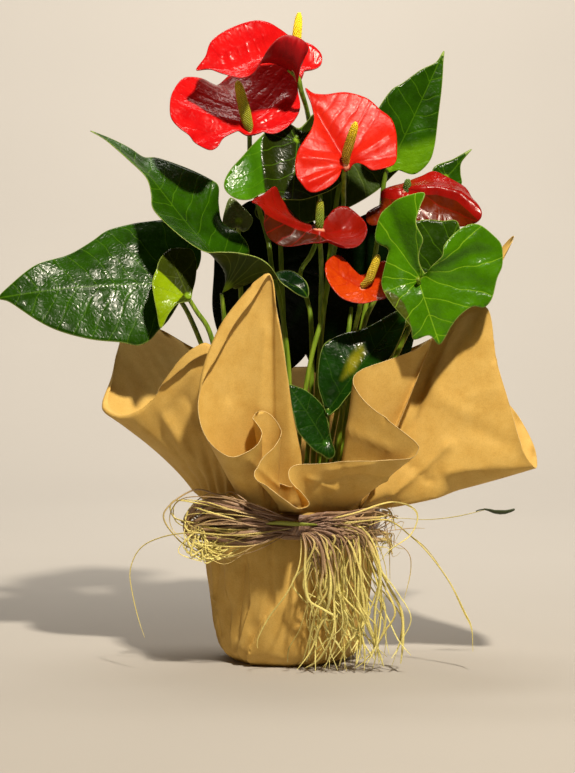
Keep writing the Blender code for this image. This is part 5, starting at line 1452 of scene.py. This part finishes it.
def hem(edge, inner, lengths, towards):
    """Rows of points that fold an edge over, round a small bend towards a direction and back along the sheet.

    edge and inner are the last two rows of a sheet, and lengths how much paper is folded over at each point.
    """
    rows = [[] for _ in range(HEM_ROWS)]
    for i, (p, q) in enumerate(zip(edge, inner)):
        out = (p - q).normalized()
        along = (edge[min(i + 1, len(edge) - 1)] - edge[max(i - 1, 0)]).normalized()
        up = out.cross(along).normalized()
        up = up if up.dot(towards[i]) > 0 else -up
        for k in range(HEM_ROWS):
            s = (k + 1) / HEM_ROWS * lengths[i]
            bend = min(s / HEM_RADIUS, HEM_TURN)
            flat = max(0.0, s - HEM_TURN * HEM_RADIUS)
            place = p + (out * math.sin(bend) + up * (1 - math.cos(bend))) * HEM_RADIUS
            rows[k].append(place + (out * math.cos(HEM_TURN) + up * math.sin(HEM_TURN)) * flat)
    return rows


def hem_length(spots, table):
    """Folded-over paper at each place along an edge, from (place, length) stops."""
    places, lengths = zip(*table)
    return [float(v) for v in np.interp(spots, places, lengths)]


def ruffle_shell(offset):
    """The folded front of the sheet: the tall lobe, its rolls and the cone at the right."""
    rim = [seen(p) for p, _ in RUFFLE]
    pairs = [Vector((x, y, 0)) for _, (x, y) in RUFFLE]
    rim, along = smooth(rim, RUFFLE_STEP, False, [float(i) for i in range(len(rim))])
    points, count = [], len(rim)
    for row in range(RUFFLE_ROWS + 1):
        t = row / RUFFLE_ROWS
        for r, s in zip(rim, along):
            i = min(int(s), len(pairs) - 2)
            foot = pairs[i].lerp(pairs[i + 1], s - i)
            out = foot.normalized()
            foot.z = RUFFLE_FOOT_Z
            middle = foot.lerp(r, RUFFLE_BEND) + out * RUFFLE_SWELL + Vector((0, 0, RUFFLE_LIFT))
            points.append(foot * (1 - t) ** 2 + middle * 2 * t * (1 - t) + r * t * t)
    lengths = hem_length(along, RUFFLE_HEM)
    front = [Vector((0.3, -1.0, 0.0))] * count
    for row in hem(points[-count:], points[-2 * count:-count], lengths, front):
        points += row
    triangles = []
    for row in range(RUFFLE_ROWS + HEM_ROWS):
        a, b = row * count, (row + 1) * count
        for i in range(count - 1):
            triangles += [(a + i, b + i + 1, b + i), (a + i, a + i + 1, b + i + 1)]
    points = creased(points, triangles, RUFFLE_FOLDS, RUFFLE_CREASE)
    shell, faces, groups = sheet_shell(points, triangles, PAPER)
    return shell, [tuple(i + offset for i in f) for f in faces], groups


def strips_piece(name, strands, size):
    """One piece of raffia strips, from (path, facing at each point, strip scale, tones, closed) strands."""
    points, edges, facing, strip, tone = [], [], [], [], []
    for path, faces_to, scale, shade, closed in strands:
        start = len(points)
        points += path
        facing += faces_to
        ends = min(STRIP_TAPER, len(path) // 3)
        for i in range(len(path)):
            near = min(i, len(path) - 1 - i)
            strip.append(scale if closed else scale * min(1.0, 0.35 + 0.65 * near / ends))
        places = [float(v) for v in np.linspace(0.0, 1.0, len(shade))]
        tone += [float(np.interp(i / (len(path) - 1), places, shade)) for i in range(len(path))]
        edges += [(start + i, start + i + 1) for i in range(len(path) - 1)]
        if closed:
            edges.append((start + len(path) - 1, start))
    piece = point_source(name, points, edges, {"strip": strip, "tone": tone}, {"facing": facing})
    return grown(piece, STRIPS, {"Width": size[0] * MM, "Thickness": size[1] * MM, "Finish": RAFFIA})


def make_band():
    """Raffia wound round the neck, turn over turn."""
    draw = random.Random(BAND_SEED)
    strands = []
    layers = ((BAND_INNER_R + 1.2, BAND_ROWS), (BAND_INNER_R + 3.6, BAND_ROWS),
              (BAND_OUTER_R - 1.4, BAND_ROWS - 2))
    for layer, (radius, count) in enumerate(layers):
        for i in range(count):
            part = i / (count - 1) - 0.5
            z0 = BAND_Z + part * (BAND_HEIGHT - 4.0 - 2.0 * layer) + draw.uniform(-0.6, 0.6)
            r0 = radius + draw.uniform(-0.5, 0.5) - 2.0 * part * part * layer
            phase, drift, swell = draw.uniform(0, 6.28), draw.uniform(0.3, 1.6), draw.uniform(0.2, 0.6)
            path, faces_to = [], []
            for k in range(BAND_STEPS):
                a = 2 * math.pi * k / BAND_STEPS
                r = r0 + swell * math.sin(4 * a + phase)
                z = z0 + 1.2 * math.sin(3 * a + 1.0) + drift * math.sin(a + phase)
                path.append(Vector((r * math.cos(a), r * math.sin(a), z)))
                facing = Vector((math.cos(a), math.sin(a), 0.35 * math.sin(5 * a + phase)))
                faces_to.append(facing.normalized())
            # Taupe tones: partly the raffia's own colour and partly painted shade under the collar.
            tone = draw.choice([0.05, 0.12, 0.2, 0.25, 0.32, 0.4])
            strands.append((path, faces_to, draw.uniform(0.85, 1.25), (tone, tone), True))
    piece = strips_piece("raffia_band_look", strands, BAND_STRIP)
    place_piece(piece, ["raffia_band"])


def turned_facing(path, first, twist):
    """A flat side for each point of a path: first to the front, then turning by twist a millimetre."""
    faces_to, travelled = [], 0.0
    for i, p in enumerate(path):
        ahead = (path[min(i + 1, len(path) - 1)] - path[max(i - 1, 0)]).normalized()
        front = Vector((0.1, -1.0, 0.25))
        front = (front - ahead * ahead.dot(front)).normalized()
        faces_to.append(Matrix.Rotation(first + twist * travelled, 3, ahead) @ front)
        travelled += (path[min(i + 1, len(path) - 1)] - p).length
    return faces_to


def make_bow():
    """The bow: bunched strands pinched at the knot, loops, tangled hanging tails and long loose strands."""
    draw = random.Random(BOW_SEED)
    strands = []

    def lay(points, spread, tones, scale=1.0, kink=0.0, twist=0.012):
        """One strand through the points, thrown about by spread, with small kinks and its tones in order."""
        path = [Vector(p) + Vector([draw.uniform(-spread, spread) for _ in range(3)]) for p in points[1:-1]]
        run = smooth([Vector(points[0])] + path + [Vector(points[-1])], 24.0 if kink else 5.0, False)
        if kink:
            kinked = [p + Vector([draw.uniform(-kink, kink) for _ in range(3)]) for p in run[1:-1]]
            run = smooth(run[:1] + kinked + run[-1:], 4.0, False)
        for p in run:
            p.z = max(p.z, 1.0)
        facing = turned_facing(run, draw.uniform(-1.2, 1.2), draw.uniform(-twist, twist))
        strands.append((run, facing, scale, tones, False))

    # Strands run from taupe at the knot to pale straw further out: partly the raffia's own tones and partly
    # painted shade near the knot.
    middle = Vector((KNOT[0] - 6.0, KNOT[1] - 4.0, KNOT[2] + 2.0))
    for i in range(LOOP_STRANDS):
        out, high, low = draw.uniform(66, 104), draw.uniform(148, 176), draw.uniform(124, 146)
        start = middle + Vector((draw.uniform(-16, 6), 0, draw.uniform(-2, 7)))
        end = middle + Vector((draw.uniform(-16, 6), 0, draw.uniform(-7, 2)))
        loop = [start, (-34, -110, 0.6 * high + 0.4 * start.z), (-0.8 * out, -97, high),
                (-out, -82, 0.5 * (high + low)), (-0.85 * out, -90, low),
                (-36, -107, 0.5 * (low + end.z)), end]
        if i < WIDE_LOOP_STRANDS:
            tones = (0.1, draw.choice([0.15, 0.3]), draw.choice([0.3, 0.4]), draw.choice([0.2, 0.35]), 0.1)
            scale = draw.uniform(1.0, 1.7)
        else:
            tones = (0.1, draw.choice([0.15, 0.3]), draw.choice([0.6, 0.9]), 0.8, 0.1)
            scale = draw.uniform(0.4, 0.8)
        lay(loop, 4.5, tones, scale, 1.5)
    for _ in range(CURLS):
        start = (-88 + draw.uniform(-14, 14), -92, 140 + draw.uniform(-10, 10))
        bend = (-88 + draw.uniform(-20, 22), -98, 126 + draw.uniform(-10, 16))
        end = (-66 + draw.uniform(-24, 24), -98, 116 + draw.uniform(-6, 22))
        lay([start, bend, (-78 + draw.uniform(-16, 16), -101, 118 + draw.uniform(-6, 12)), end], 3.5,
            (0.7, draw.choice([0.8, 0.9])), draw.uniform(0.4, 0.7), 2.2)
    for _ in range(SIDE_TAILS):
        s = draw.random()
        end = Vector((80 + draw.uniform(-6, 20), -58 - 22 * draw.random(), 124 + 32 * s))
        bend = Vector((50 + draw.uniform(-10, 10), -97 - 8 * draw.random(),
                       128 + 26 * s + draw.uniform(-5, 5)))
        start = middle + Vector((draw.uniform(2, 26), 0, 9 * s - 5))
        curl = end + Vector((draw.uniform(-8, 8), draw.uniform(-4, 6), draw.uniform(-22, 4)))
        lay([start, start.lerp(bend, 0.5) + Vector((0, -5, 2)), bend, end, curl], 3.0,
            (0.1, draw.choice([0.15, 0.25]), draw.choice([0.3, 0.4]), draw.choice([0.4, 0.7, 0.85])),
            draw.uniform(0.6, 1.6), 1.4)
    for loop in LOOPS[:4]:
        for _ in range(2):
            tones = (0.2, draw.choice([0.4, 0.7]), draw.choice([0.7, 0.9]), 0.2)
            lay(loop, 4.5, tones, draw.uniform(0.35, 0.6), 1.2)
    lay(LOOPS[4], 2.0, (0.2, 0.6), 0.5, 1.0)
    for k, strand in enumerate(LOOSE):
        for _ in range(2 if k in (1, 4) else 1):
            lay(strand, 1.2, (0.6, draw.choice([0.75, 0.85])), 0.5)
    for i in range(HANGING_TAILS):
        s = i / (HANGING_TAILS - 1)
        x = 22.0 + 82.0 * s + draw.uniform(-12, 12)
        end = 3.0 + draw.random() ** 1.6 * (26 + 66 * abs(s - 0.4))
        bulge, depth = draw.uniform(-10, 20), draw.uniform(-9, 9)
        start = (12 + 14 * s, -105 + 3 * s, 141 + 8 * s)
        over = (20 + 54 * s + draw.uniform(-6, 6), -113 - depth * 0.4 + 16 * s, 130 + 12 * s)
        middle_way = (x * 0.72 + bulge, -106 + 12 * s - depth, 86 + 18 * s + draw.uniform(-10, 10))
        low = (x * 0.95 + draw.uniform(-18, 18), -96 + 6 * s - depth, 48 + 0.3 * end + draw.uniform(-12, 12))
        last = (x - bulge * 0.9 + draw.uniform(-14, 14), -88 + depth, end)
        pale = draw.choice([0.72, 0.8, 0.86, 0.9])
        tones = (draw.choice([0.1, 0.25]), draw.choice([0.3, 0.7]), pale, pale, 0.92)
        lay([start, over, middle_way, low, last], 4.0, tones, draw.uniform(0.45, 1.0), 2.6)
    for _ in range(WISPS):
        start = Vector((86 + draw.uniform(-8, 8), -84, 140 + draw.uniform(-8, 8)))
        bend = start + Vector((draw.uniform(8, 30), draw.uniform(-8, 8), draw.uniform(-34, 22)))
        end = bend + Vector((draw.uniform(-18, 14), draw.uniform(-8, 8), draw.uniform(-36, 6)))
        lay([start, start.lerp(bend, 0.6) + Vector((4, -4, 6)), bend, end], 3.0,
            (0.3, draw.choice([0.5, 0.7])), 0.3, 2.4)
    # The green strip over the knot, and the dark tip of the strand that ends at the right
    lay([(-27, -110, 148), (-12, -113, 150), (6, -114, 149), (27, -111, 148)], 0.3,
        (0.965, 0.97), 1.7, 0.0, 0.0)
    lay([(220, -68, 158), (211, -69, 155), (200, -69, 155), (190, -70, 158), (182, -70, 156)], 0.2,
        (1.0, 1.0), 2.0, 0.0, 0.05)
    for i in range(KNOT_TURNS):
        x = KNOT[0] - 10.0 + 20.0 * i / (KNOT_TURNS - 1)
        wide = 0.95 - 0.06 * abs(i - (KNOT_TURNS - 1) / 2)
        path, faces_to = [], []
        for k in range(KNOT_STEPS):
            a = 2 * math.pi * k / KNOT_STEPS
            path.append(Vector((x + 2.5 * math.sin(a), KNOT[1] + 7.4 * wide * math.cos(a),
                                KNOT[2] + 8.6 * wide * math.sin(a))))
            faces_to.append(Vector((0, math.cos(a) / 7.6, math.sin(a) / 9.6)).normalized())
        # Dark taupe on the knot: partly its own tone and partly painted shade.
        tone = draw.choice([0.02, 0.1, 0.2])
        strands.append((path, faces_to, 1.2, (tone, tone), True))
    piece = strips_piece("raffia_bow_look", strands, BOW_STRIP)
    place_piece(piece, ["raffia_bow"])


def turned(profile, sides):
    """Points and faces of a closed turned solid from (radius, z) points that start and end on the axis."""
    points = [Vector((0, 0, profile[0][1]))]
    rows = profile[1:-1]
    for r, z in rows:
        for k in range(sides):
            turn = 2 * math.pi * k / sides
            points.append(Vector((r * math.cos(turn), r * math.sin(turn), z)))
    points.append(Vector((0, 0, profile[-1][1])))
    faces = [(0, 1 + (k + 1) % sides, 1 + k) for k in range(sides)]
    for row in range(len(rows) - 1):
        a, b = 1 + row * sides, 1 + (row + 1) * sides
        faces += [(a + k, a + (k + 1) % sides, b + (k + 1) % sides, b + k) for k in range(sides)]
    a, end = 1 + (len(rows) - 1) * sides, len(points) - 1
    faces += [(a + k, a + (k + 1) % sides, end) for k in range(sides)]
    return points, faces


def make_pot():
    """Thin plastic nursery pot inside the wrap."""
    foot, rim, wall = POT_FOOT_R, POT_RIM_R, POT_WALL
    low, top = POT_FOOT_Z, POT_RIM_Z
    bevel_r, bevel_z = foot + POT_BEVEL[0], low + POT_BEVEL[1]
    heel_r, heel_z = foot + POT_HEEL[0], low + POT_HEEL[1]
    lip_z = top - POT_LIP_HEIGHT
    edge = POT_LIP_ROUND
    profile = [(0, low), (foot, low), (bevel_r, bevel_z), (heel_r, heel_z), (rim - POT_LIP_OUT, lip_z - 2),
               (rim, lip_z), (rim, top - edge), (rim - edge, top), (rim - 2 * wall + edge, top),
               (rim - 2 * wall, top - edge), (rim - 3 * wall, lip_z - 1), (heel_r - wall, heel_z + 1),
               (bevel_r - wall, bevel_z + wall), (foot - wall, low + wall), (0, low + wall)]
    points, faces = turned(profile, POT_SIDES)
    piece = mesh_object("nursery_pot_look", points, faces, [pot_material()])
    piece.data.set_sharp_from_angle(angle=math.radians(40))
    place_piece(piece, ["nursery_pot"])


def make_soil():
    """Peat in the pot, lumpy on top, with crumbs strewn over it."""
    gap = POT_WALL + SOIL_GAP
    foot, low = POT_FOOT_R - gap, POT_FOOT_Z + gap
    rim = POT_RIM_R - 3 * POT_WALL - 2 * SOIL_GAP
    shore_z = SOIL_TOP_Z - SOIL_DROP
    tops = [(rim - SOIL_RING * k, shore_z + min(k, SOIL_SLOPE_RINGS) * SOIL_DROP / SOIL_SLOPE_RINGS)
            for k in range(1, int(rim / SOIL_RING))]
    profile = [(0, low), (foot, low), (foot + POT_BEVEL[0], low + POT_BEVEL[1] + 1),
               (foot + POT_HEEL[0] - SOIL_GAP, low + POT_HEEL[1]), (rim, shore_z)]
    profile += tops + [(0, SOIL_TOP_Z)]
    points, faces = turned(profile, POT_SIDES)
    on_top = [1.0 if p.z > shore_z - 0.1 else 0.0 for p in points]
    for p in points:
        if p.z > shore_z + 0.1:
            p.z += 1.6 * noise.noise(p * 0.09) + 0.8 * noise.noise(p * 0.3)
    finish = peat_material()
    piece = mesh_object("potting_soil_look", points, faces, [finish], None, None, {"top": on_top})
    grown(piece, CRUMBS, {"Finish": finish})
    place_piece(piece, ["potting_soil"])


# Floor, light and camera


# Floor and backdrop in metres: half its width, its front, where it starts to rise, the rise's radius and
# steps, and its top
FLOOR_HALF = 6.0
FLOOR_FRONT = -5.0
BACKDROP_FOOT = 1.4
BACKDROP_BEND = 1.2
BACKDROP_STEPS = 12
BACKDROP_TOP = 5.0

# Lamps: name, place, size, power, colour, and what it is aimed at
LAMPS = [("key", (0.64, -1.80, 2.48), 0.16, 136.0, "FFF3E0", (0.0, 0.0, 0.3)),
         ("fill", (-1.7, -1.8, 1.0), 1.6, 2.4, "FFC890", (0.0, 0.0, 0.3)),
         ("wall", (0.0, 0.9, 2.3), 1.4, 76.0, "FFF8EE", (0.0, 2.6, 0.9))]
ROOM_COLOUR = "F2DCC0"
ROOM_STRENGTH = 0.04


def make_stage():
    """A plain pale floor that curves up into a backdrop."""
    made, tree, shader = new_material("plain_pale_floor", 0.9, 1.5)
    place = add(tree, "ShaderNodeTexCoord").outputs["Object"]
    haze = add(tree, "ShaderNodeTexNoise", None, {"Vector": place, "Scale": 1.5, "Detail": 2.0})
    tone = ramp(tree, haze, [(0.3, "A8A49E"), (0.7, "ACA8A2")])
    tree.links.new(tone.outputs[0], shader.inputs["Base Color"])
    outline = [(FLOOR_FRONT, 0.0), (BACKDROP_FOOT, 0.0)]
    for step in range(1, BACKDROP_STEPS + 1):
        turn = math.pi / 2 * step / BACKDROP_STEPS
        outline.append((BACKDROP_FOOT + BACKDROP_BEND * math.sin(turn), BACKDROP_BEND * (1 - math.cos(turn))))
    outline.append((BACKDROP_FOOT + BACKDROP_BEND, BACKDROP_TOP))
    points, faces = [], []
    for i, (y, z) in enumerate(outline):
        points += [(-FLOOR_HALF / MM, y / MM, z / MM), (FLOOR_HALF / MM, y / MM, z / MM)]
        if i:
            faces.append((2 * i - 2, 2 * i - 1, 2 * i + 1, 2 * i))
    floor = mesh_object("floor", points, faces, [made])


def lamp(name, place, size, power, colour, aim):
    """A soft square light."""
    light = bpy.data.lights.new(name, "AREA")
    light.shape = "SQUARE"
    light.size = size
    light.energy = power
    light.color = linear(colour)[:3]
    made = bpy.data.objects.new(name, light)
    made.location = place
    made.rotation_euler = (Vector(aim) - Vector(place)).to_track_quat("-Z", "Y").to_euler()
    bpy.context.scene.collection.objects.link(made)


def make_camera():
    """The camera at the photo's viewing angle."""
    lens = bpy.data.cameras.new("camera")
    lens.sensor_fit = "VERTICAL"
    lens.sensor_width = PICTURE_HEIGHT
    lens.sensor_height = PICTURE_HEIGHT
    lens.lens = CAMERA_LENS
    lens.clip_end = 20.0
    made = bpy.data.objects.new("camera", lens)
    made.location = CAMERA_PLACE
    made.rotation_euler = (math.radians(90.0 - CAMERA_DOWN), 0.0, math.radians(CAMERA_TURN))
    bpy.context.scene.collection.objects.link(made)
    bpy.context.scene.camera = made


def make_room():
    """Faint warm light from all sides, and plain colours in the picture."""
    world = bpy.data.worlds.new("soft_room")
    world.use_nodes = True
    background = world.node_tree.nodes["Background"]
    background.inputs["Color"].default_value = linear(ROOM_COLOUR)
    background.inputs["Strength"].default_value = ROOM_STRENGTH
    bpy.context.scene.world = world
    bpy.context.scene.view_settings.view_transform = "Standard"


for bloom_name, bloom_table in BLOOMS.items():
    make_bloom(bloom_name, bloom_table)
for leaf_name, leaf_table in LEAVES.items():
    make_leaf(leaf_name, leaf_table)
make_wrap()
make_band()
make_bow()
make_pot()
make_soil()
make_stage()
for lamp_values in LAMPS:
    lamp(*lamp_values)
make_camera()
make_room()
